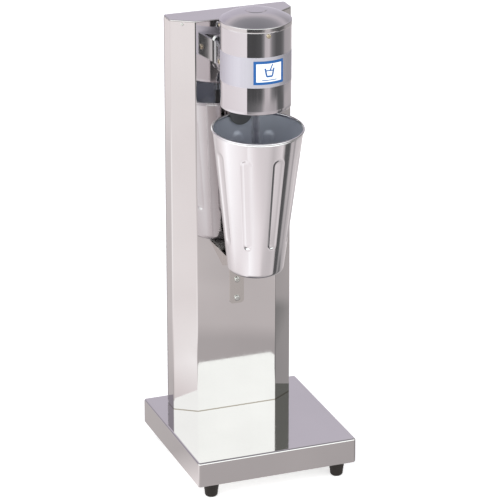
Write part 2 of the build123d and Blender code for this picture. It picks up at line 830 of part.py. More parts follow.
post_circle = stator_radius - stator_ring / 2
bell_floor_top = barrel_wall + end_bell_floor
stator_bolt_low = barrel_wall + 1.0
upper_bell_low = stator_rise + stator_height + 22.0
upper_bell_thickness = 3.0
upper_bell_margin = 1.0
upper_bell_top = upper_bell_low + upper_bell_thickness
upper_bearing_low = upper_bell_low

with BuildPart() as lower_end_bell:
    with BuildSketch(head_plane.offset(barrel_wall)):
        Circle(barrel_bore - slip_gap)
        Circle(shaft_radius + 2.0, mode=Mode.SUBTRACT)
        with PolarLocations(bell_screw_circle, bell_screw_count, 30):
            Circle(bell_screw_radius + seat_gap, mode=Mode.SUBTRACT)
    extrude(amount=end_bell_floor)
    with BuildSketch(head_plane.offset(bell_floor_top)):
        Circle(bearing_radius + 3.0)
        Circle(bearing_radius + seat_gap, mode=Mode.SUBTRACT)
    extrude(amount=bearing_height)
    with BuildSketch(head_plane.offset(bell_floor_top)):
        with PolarLocations(post_circle, 2, 90):
            Circle(stator_post_radius)
    extrude(amount=stator_rise - bell_floor_top)
    with BuildSketch(head_plane.offset(stator_bolt_low)):
        with PolarLocations(post_circle, 2, 90):
            Circle(stator_bolt_radius + seat_gap)
    extrude(amount=stator_rise, mode=Mode.SUBTRACT)
lower_end_bell.part.label = "lower_end_bell"
export_step(lower_end_bell.part, "parts/lower_end_bell.step")

bell_screw = screw(3.2, 1.8, bell_screw_radius, barrel_wall + end_bell_floor)
with BuildPart() as bell_screws:
    for k in range(bell_screw_count):
        turn = radians(30 + 360 / bell_screw_count * k)
        x, y = bell_screw_circle * cos(turn), head_y + bell_screw_circle * sin(turn)
        with Locations(Plane((x, y, head_bottom), x_dir=(1, 0, 0), z_dir=(0, 0, -1))):
            add(bell_screw)
bell_screws.part.label = "bell_screws"
export_step(bell_screws.part, "parts/bell_screws.step")

bearing_bore = shaft_radius + running_gap
with BuildPart() as lower_bearing:
    with BuildSketch(head_plane.offset(bell_floor_top)):
        Circle(bearing_radius)
        Circle(bearing_bore, mode=Mode.SUBTRACT)
    extrude(amount=bearing_height)
lower_bearing.part.label = "lower_bearing"
export_step(lower_bearing.part, "parts/lower_bearing.step")

with BuildPart() as upper_bearing:
    with BuildSketch(head_plane.offset(upper_bearing_low)):
        Circle(upper_bearing_radius)
        Circle(bearing_bore, mode=Mode.SUBTRACT)
    extrude(amount=upper_bearing_height)
upper_bearing.part.label = "upper_bearing"
export_step(upper_bearing.part, "parts/upper_bearing.step")

with BuildPart() as stator_core:
    with BuildSketch(head_plane.offset(stator_rise)):
        Circle(stator_radius)
        Circle(stator_radius - stator_ring, mode=Mode.SUBTRACT)
        for turn in (0, 180):
            add(sector(stator_bore, stator_radius - stator_ring / 2, pole_half_angle), rotation=turn)
        with PolarLocations(post_circle, 2, 90):
            Circle(stator_bolt_radius + seat_gap, mode=Mode.SUBTRACT)
    extrude(amount=stator_height)
stator_core.part.label = "stator_core"
export_step(stator_core.part, "parts/stator_core.step")

coil_half_angle = 84.0
coil_pole_gap = 2.0  # degrees between a pole and the coil beside it
coil_inner = stator_bore + slip_gap
coil_outer = stator_radius - stator_ring - slip_gap
with BuildPart() as field_coils:
    for turn in (0, 180):
        with BuildSketch(head_plane.offset(stator_rise - coil_overhang)):
            add(sector(coil_inner, coil_outer, coil_half_angle), rotation=turn)
        extrude(amount=stator_height + 2 * coil_overhang)
    with BuildSketch(head_plane.offset(stator_rise - slip_gap)):
        for turn in (0, 180):
            add(sector(coil_inner - 1.0, coil_outer + 1.0, pole_half_angle + coil_pole_gap), rotation=turn)
    extrude(amount=stator_height + 2 * slip_gap, mode=Mode.SUBTRACT)
field_coils.part.label = "field_coils"
export_step(field_coils.part, "parts/field_coils.step")

brush_low = stator_rise + stator_height + coil_overhang + 3.0
brush_inner = commutator_radius + seat_gap
holder_inner = commutator_radius + 1.6
holder_outer = barrel_bore - brush_holder_room
brush_length = holder_outer - brush_inner - brush_spring_room
with BuildPart() as upper_end_bell:
    with BuildSketch(head_plane.offset(upper_bell_low)):
        Circle(post_circle + stator_post_radius + upper_bell_margin)
        Circle(upper_bearing_radius + seat_gap, mode=Mode.SUBTRACT)
    extrude(amount=upper_bell_thickness)
    with BuildSketch(head_plane.offset(upper_bell_low + upper_bell_thickness)):
        Circle(upper_bearing_radius + 2.5)
        Circle(upper_bearing_radius + seat_gap, mode=Mode.SUBTRACT)
    extrude(amount=upper_bearing_height - upper_bell_thickness)
    with BuildSketch(head_plane.offset(stator_rise + stator_height)):
        with PolarLocations(post_circle, 2, 90):
            Circle(stator_post_radius)
    extrude(amount=upper_bell_low - stator_rise - stator_height)
    with BuildSketch(head_plane.offset(upper_bell_top)):
        with PolarLocations(post_circle, 2, 90):
            Circle(stator_bolt_radius + seat_gap)
    extrude(amount=stator_rise + stator_height - upper_bell_top, mode=Mode.SUBTRACT)
upper_end_bell.part.label = "upper_end_bell"
export_step(upper_end_bell.part, "parts/upper_end_bell.step")

stator_bolt = screw(3.2, 2.2, stator_bolt_radius, upper_bell_top - stator_bolt_low)
with BuildPart() as stator_bolts:
    with Locations(*[head_plane.offset(upper_bell_top)]):
        with PolarLocations(post_circle, 2, 90):
            add(stator_bolt)
stator_bolts.part.label = "stator_bolts"
export_step(stator_bolts.part, "parts/stator_bolts.step")

with BuildPart() as brush_holders:
    for side in (-1, 1):
        with BuildSketch(head_plane.offset(brush_low - brush_wall)):
            with Locations((side * (holder_inner + holder_outer) / 2, 0)):
                Rectangle(holder_outer - holder_inner, brush_width + 2 * brush_wall)
        extrude(amount=upper_bell_low - brush_low + brush_wall)
        with BuildSketch(head_plane.offset(brush_low - slip_gap / 3)):
            with Locations((side * (holder_inner + holder_outer - brush_wall) / 2, 0)):
                Rectangle(holder_outer - holder_inner - brush_wall, brush_width + slip_gap * 2 / 3)
        extrude(amount=brush_height + slip_gap * 2 / 3, mode=Mode.SUBTRACT)
brush_holders.part.label = "brush_holders"
export_step(brush_holders.part, "parts/brush_holders.step")

with BuildPart() as carbon_brushes:
    with BuildSketch(head_plane.offset(brush_low)):
        with Locations((-brush_inner - brush_length / 2, 0), (brush_inner + brush_length / 2, 0)):
            Rectangle(brush_length, brush_width)
        Circle(brush_inner + seat_gap, mode=Mode.SUBTRACT)
    extrude(amount=brush_height)
carbon_brushes.part.label = "carbon_brushes"
export_step(carbon_brushes.part, "parts/carbon_brushes.step")

# Rotor

armature_radius = stator_bore - air_gap
armature_winding_radius = armature_radius - winding_inset
fan_radius = stator_radius - fan_inset
slot_width = 2 * pi * armature_radius / armature_slots * 0.42
slot_bottom = armature_radius - armature_slot_depth
with BuildPart() as armature_core:
    with BuildSketch(head_plane.offset(stator_rise)):
        Circle(armature_radius)
        Circle(shaft_radius, mode=Mode.SUBTRACT)
        with PolarLocations((armature_radius + slot_bottom) / 2 + 1.0, armature_slots):
            Rectangle(armature_radius - slot_bottom + 2.0, slot_width, mode=Mode.SUBTRACT)
    extrude(amount=stator_height)
armature_core.part.label = "armature_core"
export_step(armature_core.part, "parts/armature_core.step")

with BuildPart() as armature_windings:
    for low in (stator_rise - armature_winding_height, stator_rise + stator_height):
        with BuildSketch(head_plane.offset(low)):
            Circle(armature_winding_radius)
            Circle(shaft_radius + 1.5, mode=Mode.SUBTRACT)
        extrude(amount=armature_winding_height)
    winding_ends = armature_windings.faces().sort_by(Axis.Z)
    fillet([winding_ends[0].outer_wire().edges()[0], winding_ends[-1].outer_wire().edges()[0]], radius=2.5)
    with BuildSketch(head_plane.offset(stator_rise)):
        with PolarLocations((armature_winding_radius + slot_bottom) / 2, armature_slots):
            Rectangle(armature_winding_radius - slot_bottom - 0.6, slot_width - 0.6)
    extrude(amount=stator_height)
armature_windings.part.label = "armature_windings"
export_step(armature_windings.part, "parts/armature_windings.step")

commutator_low = stator_rise + stator_height + armature_winding_height + 0.6
with BuildPart() as commutator:
    with BuildSketch(head_plane.offset(commutator_low)):
        Circle(commutator_radius)
        Circle(shaft_radius, mode=Mode.SUBTRACT)
        with PolarLocations(commutator_radius, commutator_bars):
            Rectangle(2.0, 0.5, mode=Mode.SUBTRACT)
    extrude(amount=commutator_height)
commutator.part.label = "commutator"
export_step(commutator.part, "parts/commutator.step")

fan_low = bell_floor_top + bearing_height + 2.0
fan_plate = 1.2
fan_blade_height = 6.0
fan_hub = 8.0
with BuildPart() as cooling_fan:
    with BuildSketch(head_plane.offset(fan_low)):
        Circle(fan_radius)
        Circle(shaft_radius, mode=Mode.SUBTRACT)
    extrude(amount=fan_plate)
    with BuildSketch(head_plane.offset(fan_low + fan_plate)):
        Circle(fan_hub)
        Circle(shaft_radius, mode=Mode.SUBTRACT)
        with PolarLocations((fan_hub + fan_radius) / 2, fan_blades):
            Rectangle(fan_radius - fan_hub + 0.4, 1.2, rotation=24)
        Circle(fan_radius, mode=Mode.INTERSECT)
    extrude(amount=fan_blade_height)
cooling_fan.part.label = "cooling_fan"
export_step(cooling_fan.part, "parts/cooling_fan.step")

seal_low = -seal_thickness
coupling_top = seal_low - 0.5
coupling_low = coupling_top - coupling_height
shaft_end = coupling_top - coupling_height / 2
shaft_top = upper_bearing_low + upper_bearing_height + 1.0
with BuildPart() as motor_shaft:
    with BuildSketch(head_plane.offset(shaft_end)):
        Circle(shaft_radius)
    extrude(amount=shaft_top - shaft_end)
    chamfer(motor_shaft.edges().filter_by(GeomType.CIRCLE), length=0.5)
motor_shaft.part.label = "motor_shaft"
export_step(motor_shaft.part, "parts/motor_shaft.step")

with BuildPart() as shaft_seal:
    with BuildSketch(head_plane.offset(seal_low)):
        Circle(barrel_mouth_radius + seal_flange)
    extrude(amount=seal_thickness)
    with BuildSketch(head_plane):
        Circle(barrel_mouth_radius - seat_gap)
    extrude(amount=barrel_wall)
    with BuildSketch(head_plane.offset(seal_low)):
        Circle(bearing_bore)
    extrude(amount=seal_thickness + barrel_wall, mode=Mode.SUBTRACT)
shaft_seal.part.label = "shaft_seal"
export_step(shaft_seal.part, "parts/shaft_seal.step")

tenon_radius = shaft_radius
with BuildPart() as spindle_coupling:
    with BuildSketch(head_plane.offset(coupling_low)):
        Circle(coupling_radius)
        Circle(tenon_radius, mode=Mode.SUBTRACT)
    extrude(amount=coupling_height)
    chamfer(spindle_coupling.edges().filter_by(GeomType.CIRCLE).sort_by(SortBy.RADIUS)[-2:], length=0.8)
spindle_coupling.part.label = "spindle_coupling"
export_step(spindle_coupling.part, "parts/spindle_coupling.step")

agitator_low = cup_bottom + agitator_height
agitator_hub_radius = 6.0
agitator_hub_height = 7.0
butterfly_low = agitator_low + butterfly_rise
thread_radius = 2.5
with BuildPart() as spindle_rod:
    with BuildSketch(Plane((0, head_y, agitator_low + agitator_hub_height))):
        Circle(spindle_radius)
    extrude(amount=head_bottom + coupling_low - agitator_low - agitator_hub_height)
    with BuildSketch(head_plane.offset(coupling_low)):
        Circle(tenon_radius)
    extrude(amount=shaft_end - coupling_low)
    with BuildSketch(Plane((0, head_y, agitator_low + 1.0))):
        Circle(thread_radius)
    extrude(amount=agitator_hub_height - 1.0)
spindle_rod.part.label = "spindle_rod"
export_step(spindle_rod.part, "parts/spindle_rod.step")

wave_radius = pi * agitator_radius / agitator_waves / 2
with BuildPart() as agitator_disc:
    with BuildSketch(Plane((0, head_y, agitator_low + agitator_hub_height / 2 - agitator_sheet / 2))):
        Circle(agitator_radius)
        with PolarLocations(agitator_radius + wave_radius * 0.45, agitator_waves):
            Circle(wave_radius * 0.8, mode=Mode.SUBTRACT)
    extrude(amount=agitator_sheet)
    with BuildSketch(Plane((0, head_y, agitator_low))):
        Circle(agitator_hub_radius)
    extrude(amount=agitator_hub_height)
    with BuildSketch(Plane((0, head_y, agitator_low + 1.0))):
        Circle(thread_radius)
    extrude(amount=agitator_hub_height, mode=Mode.SUBTRACT)
agitator_disc.part.label = "agitator_disc"
export_step(agitator_disc.part, "parts/agitator_disc.step")

with BuildPart() as agitator_butterfly:
    with BuildSketch(Plane((0, head_y, butterfly_low))):
        Circle(spindle_radius + 2.5)
    extrude(amount=agitator_hub_height)
    with BuildSketch(Plane((0, head_y, butterfly_low + agitator_hub_height / 2 - agitator_sheet / 2))):
        SlotOverall(2 * butterfly_radius, 9.0)
        SlotOverall(2 * butterfly_radius, 9.0, rotation=90)
    extrude(amount=agitator_sheet)
    with BuildSketch(Plane((0, head_y, butterfly_low))):
        Circle(spindle_radius)
    extrude(amount=agitator_hub_height, mode=Mode.SUBTRACT)
agitator_butterfly.part.label = "agitator_butterfly"
export_step(agitator_butterfly.part, "parts/agitator_butterfly.step")

# Cup

cup_plane = Plane(
    (0, cup_foot_y, cup_bottom),
    x_dir=(1, 0, 0),
    z_dir=(0, -sin(radians(cup_tilt)), cos(radians(cup_tilt))),
)
cup_profile_plane = Plane(cup_plane.origin, x_dir=cup_plane.x_dir, z_dir=-cup_plane.y_dir)
cup_axis = Axis(cup_plane.origin, cup_plane.z_dir)
cup_wall_top = cup_rim_radius - cup_bead
cup_slope = (cup_wall_top - cup_foot_radius) / cup_height
cup_lean = degrees(atan2(cup_wall_top - cup_foot_radius, cup_height))


def cup_solid(inset):
    """The cup's outer form with its pressed flutes, shrunk by the inset."""
    floor = inset
    wall_shift = inset / cos(radians(cup_lean))
    low_radius = cup_foot_radius + cup_slope * floor - wall_shift
    high_radius = cup_wall_top - wall_shift
    bar_low = Vector(cup_foot_radius + cup_slope * flute_low, 0, flute_low)
    bar_high = Vector(cup_foot_radius + cup_slope * flute_high, 0, flute_high)
    outward = Vector(cos(radians(cup_lean)), 0, -sin(radians(cup_lean)))
    bar_radius = flute_radius + inset
    bar_shift = outward * (flute_radius - flute_depth)
    bar_plane = Plane(bar_low + bar_shift, z_dir=bar_high - bar_low)
    with BuildPart() as bar:
        with Locations(bar_plane):
            Cylinder(bar_radius, (bar_high - bar_low).length, align=(Align.CENTER, Align.CENTER, Align.MIN))
        with Locations(bar_low + bar_shift, bar_high + bar_shift):
            Sphere(bar_radius)
    with BuildPart() as form:
        with BuildSketch(Plane.XZ) as profile:
            with BuildLine():
                wall_ends = (low_radius, floor), (high_radius, cup_height)
                Polyline((0, floor), *wall_ends, (0, cup_height), close=True)
            make_face()
            fillet(profile.vertices().group_by(Axis.Y)[0].sort_by(Axis.X)[-1], radius=cup_corner - inset)
        revolve(axis=Axis.Z)
        with PolarLocations(0, flute_count, flute_start):
            add(bar.part, mode=Mode.SUBTRACT)
    return form.part


cup_outside = cup_solid(0.0)
cup_inside = cup_solid(cup_wall)
with BuildPart() as cup:
    with Locations(cup_plane):
        add(cup_outside)
        add(cup_inside, mode=Mode.SUBTRACT)
    with BuildSketch(cup_profile_plane):
        with Locations((cup_rim_radius - cup_bead, cup_height)):
            Circle(cup_bead)
    revolve(axis=cup_axis)
cup.part.label = "cup"
export_step(cup.part, "parts/cup.step")

# Cup rest

rest_pad_top = cup_bottom + rest_shelf_reach * tan(radians(cup_tilt)) - rest_clearance
rest_shelf_top = rest_pad_top - rest_pad_thickness
rest_back = column_front
with BuildPart() as cup_rest:
    with BuildSketch(Plane.XZ.offset(-rest_back)):
        strap_height = rest_shelf_top - rest_strap_low
        with Locations((0, rest_strap_low + strap_height / 2)):
            RectangleRounded(rest_strap_width, strap_height, rest_corner)
        with Locations((0, rest_shelf_top - rest_corner)):
            Rectangle(rest_strap_width, 2 * rest_corner)
        with Locations(*rest_screw_places):
            Circle(sheet_screw_radius + screw_clearance, mode=Mode.SUBTRACT)
    extrude(amount=rest_thickness)
    with BuildSketch(Plane.XY.offset(rest_shelf_top)) as shelf_plan:
        with Locations((0, (rest_back + rest_shelf_front) / 2)):
            Rectangle(rest_shelf_width, rest_back - rest_shelf_front)
        fillet(shelf_plan.vertices().group_by(Axis.Y)[0], radius=rest_corner)
    extrude(amount=-rest_thickness)
    for side in (-1, 1):
        with BuildSketch(Plane.YZ.offset(side * rest_shelf_width / 2)):
            with BuildLine():
                Polyline(
                    (rest_back, rest_shelf_top),
                    (rest_back, rest_shelf_top - rest_gusset_depth),
                    (rest_shelf_front + 2 * rest_corner, rest_shelf_top - rest_thickness),
                    (rest_shelf_front + 2 * rest_corner, rest_shelf_top),
                    close=True,
                )
            make_face()
        extrude(amount=-side * rest_thickness)
cup_rest.part.label = "cup_rest"
export_step(cup_rest.part, "parts/cup_rest.step")

sheet_screw = screw(3.4, 2.0, sheet_screw_radius, rest_thickness + sheet + 4.0)
with BuildPart() as sheet_screws:
    for x, z in rest_screw_places:
        with Locations(Plane((x, column_front - rest_thickness, z), x_dir=(1, 0, 0), z_dir=(0, -1, 0))):
            add(sheet_screw)
    for x, z in rear_screw_places:
        with Locations(Plane((x, column_back, z), x_dir=(1, 0, 0), z_dir=(0, 1, 0))):
            add(sheet_screw)
sheet_screws.part.label = "sheet_screws"
export_step(sheet_screws.part, "parts/sheet_screws.step")

with BuildPart() as rest_pad:
    with BuildSketch(Plane.XY.offset(rest_shelf_top)):
        pad_length = column_front - rest_shelf_front - rest_pad_gap
        with Locations((0, rest_shelf_front + pad_length / 2)):
            RectangleRounded(rest_shelf_width - 2 * rest_pad_inset, pad_length, rest_corner)
    extrude(amount=rest_pad_thickness)
rest_pad.part.label = "rest_pad"
export_step(rest_pad.part, "parts/rest_pad.step")

# Cup switch

pin_z = neck_bottom - pin_drop
pin_y = lever_y + knuckle_radius
micro_middle_z = neck_bottom + neck_wall + micro_height / 2
lever_tail_top = micro_middle_z + micro_height / 2 - 1.0
lever_middle_z = head_bottom - lever_bend_low
hook_centre_z = hook_tip_z + hook_radius
with BuildPart() as switch_lever:
    with BuildSketch(Plane.YZ.offset(hook_x - hook_radius)):
        with BuildLine():
            FilletPolyline(
                (lever_y, lever_tail_top),
                (lever_y, head_bottom + lever_bend_high),
                (hook_y, lever_middle_z),
                (hook_y, hook_tip_z),
                radius=lever_bend,
            )
            offset(amount=lever_thickness, side=Side.LEFT)
        make_face()
    extrude(amount=2 * hook_radius)
    with BuildSketch(Plane.XZ.offset(-column_front)):
        with Locations((hook_x, hook_centre_z)):
            Circle(hook_radius)
        with Locations((hook_x, (hook_centre_z + lever_middle_z) / 2)):
            Rectangle(2 * hook_radius, lever_middle_z - hook_centre_z)
        with Locations((hook_x, (lever_middle_z + pin_z + knuckle_radius) / 2)):
            Rectangle(lever_stem_width, pin_z + knuckle_radius - lever_middle_z)
        with Locations((hook_x, (pin_z + lever_tail_top) / 2)):
            Rectangle(lever_tail_width, lever_tail_top - pin_z)
    extrude(amount=column_front - head_y, mode=Mode.INTERSECT)
    with Locations(Plane((hook_x - lever_stem_width / 2, pin_y, pin_z), z_dir=(1, 0, 0))):
        Cylinder(knuckle_radius, lever_stem_width, align=(Align.CENTER, Align.CENTER, Align.MIN))
        Cylinder(
            pin_radius + running_gap,
            lever_stem_width,
            align=(Align.CENTER, Align.CENTER, Align.MIN),
            mode=Mode.SUBTRACT,
        )
switch_lever.part.label = "switch_lever"
export_step(switch_lever.part, "parts/switch_lever.step")

ear_inner = lever_stem_width / 2 + lever_ear_gap
ear_inner_left = ear_inner + spring_room
bracket_low = pin_z - bracket_ear_margin
bracket_front = lever_y - bracket_front_over
bracket_back = lever_y + bracket_depth
bracket_left = hook_x - ear_inner_left - ear_thickness
bracket_right = hook_x + ear_inner + ear_thickness
bracket_edge = pin_y + bracket_ear_margin
with BuildPart() as switch_bracket:
    with BuildSketch(Plane.XY.offset(neck_bottom)):
        with Locations(((bracket_left + bracket_right) / 2, (bracket_front + bracket_back) / 2)):
            Rectangle(bracket_right - bracket_left, bracket_back - bracket_front)
        with Locations((hook_x, lever_slot_y)):
            Rectangle(lever_slot_width, lever_slot_depth, mode=Mode.SUBTRACT)
        with Locations(*bracket_screw_places):
            Circle(bracket_screw_radius + screw_clearance, mode=Mode.SUBTRACT)
    extrude(amount=-ear_thickness)
    for ear_x in (bracket_left, bracket_right - ear_thickness):
        with BuildSketch(Plane.YZ.offset(ear_x)):
            with BuildLine():
                Polyline(
                    (bracket_front, neck_bottom), (bracket_front, bracket_low), (bracket_edge, bracket_low),
                    (bracket_back, neck_bottom - ear_thickness), (bracket_back, neck_bottom), close=True,
                )
            make_face()
            with Locations((pin_y, pin_z)):
                Circle(pin_radius + seat_gap / 2, mode=Mode.SUBTRACT)
        extrude(amount=ear_thickness)
switch_bracket.part.label = "switch_bracket"
export_step(switch_bracket.part, "parts/switch_bracket.step")

with BuildPart() as lever_pin:
    with Locations(Plane((bracket_left - pin_head - seat_gap, pin_y, pin_z), z_dir=(1, 0, 0))):
        pin_length = bracket_right - bracket_left + pin_head + seat_gap + pin_end
        Cylinder(pin_radius, pin_length, align=(Align.CENTER, Align.CENTER, Align.MIN))
        Cylinder(pin_radius + pin_head, pin_head, align=(Align.CENTER, Align.CENTER, Align.MIN))
lever_pin.part.label = "lever_pin"
export_step(lever_pin.part, "parts/lever_pin.step")

spring_coil_radius = pin_radius + spring_wire + spring_coil_gap
spring_length = spring_room - 2 * spring_wire - 2 * spring_gap
with BuildPart() as spring_coil:
    with BuildLine() as spring_path:
        Helix(spring_length / spring_turns, spring_length, spring_coil_radius)
    with BuildSketch(Plane(spring_path.line @ 0, z_dir=spring_path.line % 0)):
        Circle(spring_wire)
    sweep(is_frenet=True)
spring_start_x = bracket_left + ear_thickness + spring_wire + spring_gap
with BuildPart() as lever_spring:
    with Locations(Plane((spring_start_x, pin_y, pin_z), x_dir=(0, 1, 0), z_dir=(1, 0, 0))):
        add(spring_coil.part)
lever_spring.part.label = "lever_spring"
export_step(lever_spring.part, "parts/lever_spring.step")

bracket_screw = screw(2.1, 1.4, bracket_screw_radius, ear_thickness + neck_wall - 0.2)
with BuildPart() as bracket_screws:
    for x, y in bracket_screw_places:
        with Locations(Plane((x, y, neck_bottom - ear_thickness), x_dir=(1, 0, 0), z_dir=(0, 0, -1))):
            add(bracket_screw)
bracket_screws.part.label = "bracket_screws"
export_step(bracket_screws.part, "parts/bracket_screws.step")

plunger_front = lever_y + lever_thickness + plunger_contact
with BuildPart() as microswitch_body:
    with BuildSketch(Plane.XY.offset(neck_bottom + neck_wall)):
        with Locations((hook_x, micro_front + micro_depth / 2)):
            Rectangle(micro_length, micro_depth)
        with Locations(*micro_screw_places):
            Circle(micro_screw_radius + screw_clearance, mode=Mode.SUBTRACT)
    extrude(amount=micro_height)
    with BuildSketch(Plane.XZ.offset(-micro_front)):
        with Locations((hook_x, micro_middle_z)):
            Circle(plunger_radius + running_gap)
    plunger_hole = plunger_front + plunger_length + plunger_travel + 0.3 - micro_front
    extrude(amount=-plunger_hole, mode=Mode.SUBTRACT)
microswitch_body.part.label = "microswitch_body"
export_step(microswitch_body.part, "parts/microswitch_body.step")

with BuildPart() as microswitch_plunger:
    with BuildSketch(Plane.XZ.offset(-plunger_front)):
        with Locations((hook_x, micro_middle_z)):
            Circle(plunger_radius)
    extrude(amount=-plunger_length)
    fillet(microswitch_plunger.edges().group_by(Axis.Y)[0], radius=0.5)
microswitch_plunger.part.label = "microswitch_plunger"
export_step(microswitch_plunger.part, "parts/microswitch_plunger.step")

micro_screw = screw(2.0, 1.3, micro_screw_radius, micro_height + neck_wall - 0.4)
with BuildPart() as microswitch_screws:
    with Locations(*[(x, y, neck_bottom + neck_wall + micro_height) for x, y in micro_screw_places]):
        add(micro_screw)
microswitch_screws.part.label = "microswitch_screws"
export_step(microswitch_screws.part, "parts/microswitch_screws.step")

# Rear fittings

switch_cavity_half = bezel_height / 2 - switch_cavity_margin
rocker_pin_x = rocker_width / 2 + rocker_pin_over
rocker_pin_gap = 0.1
with BuildPart() as power_switch_body:
    with BuildSketch(rear_face):
        with Locations((rocker_x, fittings_z)):
            RectangleRounded(bezel_width, bezel_height, bezel_corner)
    extrude(amount=-bezel_thickness)
    with BuildSketch(rear_face):
        with Locations((rocker_x, fittings_z)):
            Rectangle(rocker_cut_width - slip_gap, rocker_cut_height - slip_gap)
    extrude(amount=switch_body_depth)
    with BuildSketch(rear_face.offset(-bezel_thickness)):
        with Locations((rocker_x, fittings_z)):
            Rectangle(rocker_width + 2 * slip_gap, 2 * switch_cavity_half)
    extrude(amount=switch_cavity_depth + bezel_thickness, mode=Mode.SUBTRACT)
    with Locations(Plane((rocker_x - rocker_pin_x, column_back, fittings_z), z_dir=(1, 0, 0))):
        Cylinder(
            rocker_pin_radius + running_gap,
            2 * rocker_pin_x,
            align=(Align.CENTER, Align.CENTER, Align.MIN),
            mode=Mode.SUBTRACT,
        )
power_switch_body.part.label = "power_switch_body"
export_step(power_switch_body.part, "parts/power_switch_body.step")

with BuildPart() as power_rocker:
    rocker_frame = Plane(
        (rocker_x - rocker_width / 2, column_back, fittings_z),
        x_dir=(0, cos(radians(rocker_tilt)), -sin(radians(rocker_tilt))),
        z_dir=(1, 0, 0),
    )
    with BuildSketch(rocker_frame):
        with BuildLine():
            ThreePointArc((rocker_lip, -rocker_half), (rocker_dip, 0), (rocker_lip, rocker_half))
            Polyline(
                (rocker_lip, rocker_half),
                (0, rocker_half - rocker_draft),
                (-rocker_root, rocker_root_half),
                (-rocker_root, -rocker_root_half),
                (0, rocker_draft - rocker_half),
                (rocker_lip, -rocker_half),
            )
        make_face()
    extrude(amount=rocker_width)
    pin_start_x = rocker_x - rocker_pin_x + rocker_pin_gap
    with Locations(Plane((pin_start_x, column_back, fittings_z), z_dir=(1, 0, 0))):
        Cylinder(
            rocker_pin_radius,
            2 * (rocker_pin_x - rocker_pin_gap),
            align=(Align.CENTER, Align.CENTER, Align.MIN),
        )
power_rocker.part.label = "power_rocker"
export_step(power_rocker.part, "parts/power_rocker.step")

with BuildPart() as cord_gland:
    with BuildSketch(rear_face):
        with Locations((gland_x, fittings_z)):
            RegularPolygon(gland_radius, 6)
    extrude(amount=-gland_hex_height)
    with BuildSketch(rear_face.offset(-gland_hex_height)):
        with Locations((gland_x, fittings_z)):
            Circle(gland_radius * gland_cone_share)
    extrude(amount=-gland_cone_height, taper=gland_cone_taper)
    with BuildSketch(rear_face):
        with Locations((gland_x, fittings_z)):
            Circle(gland_thread)
    extrude(amount=gland_thread_length)
    with BuildSketch(rear_face.offset(-gland_hex_height - gland_cone_height)):
        with Locations((gland_x, fittings_z)):
            Circle(gland_bore)
    extrude(amount=gland_hex_height + gland_cone_height + gland_thread_length, mode=Mode.SUBTRACT)
cord_gland.part.label = "cord_gland"
export_step(cord_gland.part, "parts/cord_gland.step")

terminal_z = fittings_z + terminal_rise
terminal_pitch = terminal_width / terminal_ways
terminal_x = loom_x + terminal_pitch
terminal_y = column_front + sheet + terminal_depth / 2
with BuildPart() as terminal_block:
    with BuildSketch(Plane.XY.offset(terminal_z)):
        with Locations((terminal_x, terminal_y)):
            Rectangle(terminal_width, terminal_depth)
            with GridLocations(terminal_pitch, 1, terminal_ways, 1):
                Circle(loom_radius, mode=Mode.SUBTRACT)
    extrude(amount=terminal_height)
terminal_block.part.label = "terminal_block"
export_step(terminal_block.part, "parts/terminal_block.step")

loom_start = terminal_z + loom_seat
loom_middle_y = column_front + sheet + neck_wall + loom_bend + 1.0
loom_end_y = head_y + stator_radius + loom_head_gap
with BuildPart() as wire_loom:
    with BuildLine() as loom_path:
        FilletPolyline(
            (loom_x, terminal_y, loom_start),
            (loom_x, terminal_y, terminal_z + loom_straight),
            (loom_x, loom_middle_y, terminal_z + loom_shift),
            (loom_x, loom_middle_y, loom_z),
            (loom_x, loom_end_y, loom_z),
            radius=loom_bend,
        )
    with BuildSketch(Plane((loom_x, terminal_y, loom_start))):
        Circle(loom_radius - seat_gap)
    sweep()
wire_loom.part.label = "wire_loom"
export_step(wire_loom.part, "parts/wire_loom.step")
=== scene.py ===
import bmesh
import bpy
import json
import math
from mathutils import Matrix, Vector


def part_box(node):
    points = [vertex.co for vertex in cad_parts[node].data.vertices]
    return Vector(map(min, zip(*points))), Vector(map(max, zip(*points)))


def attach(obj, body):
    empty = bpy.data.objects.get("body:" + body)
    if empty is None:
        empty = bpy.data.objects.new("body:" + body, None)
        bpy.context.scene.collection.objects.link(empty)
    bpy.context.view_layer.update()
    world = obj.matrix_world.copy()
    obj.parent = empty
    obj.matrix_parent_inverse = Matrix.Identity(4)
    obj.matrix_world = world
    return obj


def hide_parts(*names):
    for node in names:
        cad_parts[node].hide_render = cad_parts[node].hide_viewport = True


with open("model.json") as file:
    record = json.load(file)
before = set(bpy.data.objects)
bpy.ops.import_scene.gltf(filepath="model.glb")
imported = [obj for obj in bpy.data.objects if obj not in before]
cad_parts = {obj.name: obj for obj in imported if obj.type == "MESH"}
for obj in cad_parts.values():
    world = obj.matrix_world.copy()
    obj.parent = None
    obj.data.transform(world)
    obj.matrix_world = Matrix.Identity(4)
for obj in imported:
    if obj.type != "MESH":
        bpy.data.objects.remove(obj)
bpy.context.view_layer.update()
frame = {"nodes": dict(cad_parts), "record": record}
nodes = frame["nodes"]
print("stage: frame loaded,", len(nodes), "nodes")

mm = 0.001


def newFinish(name):
    finish = bpy.data.materials.new(name)
    finish.use_nodes = True
    tree = finish.node_tree
    tree.nodes.clear()
    out = tree.nodes.new("ShaderNodeOutputMaterial")
    shader = tree.nodes.new("ShaderNodeBsdfPrincipled")
    tree.links.new(shader.outputs["BSDF"], out.inputs["Surface"])
    coords = tree.nodes.new("ShaderNodeTexCoord")
    return finish, tree, shader, coords


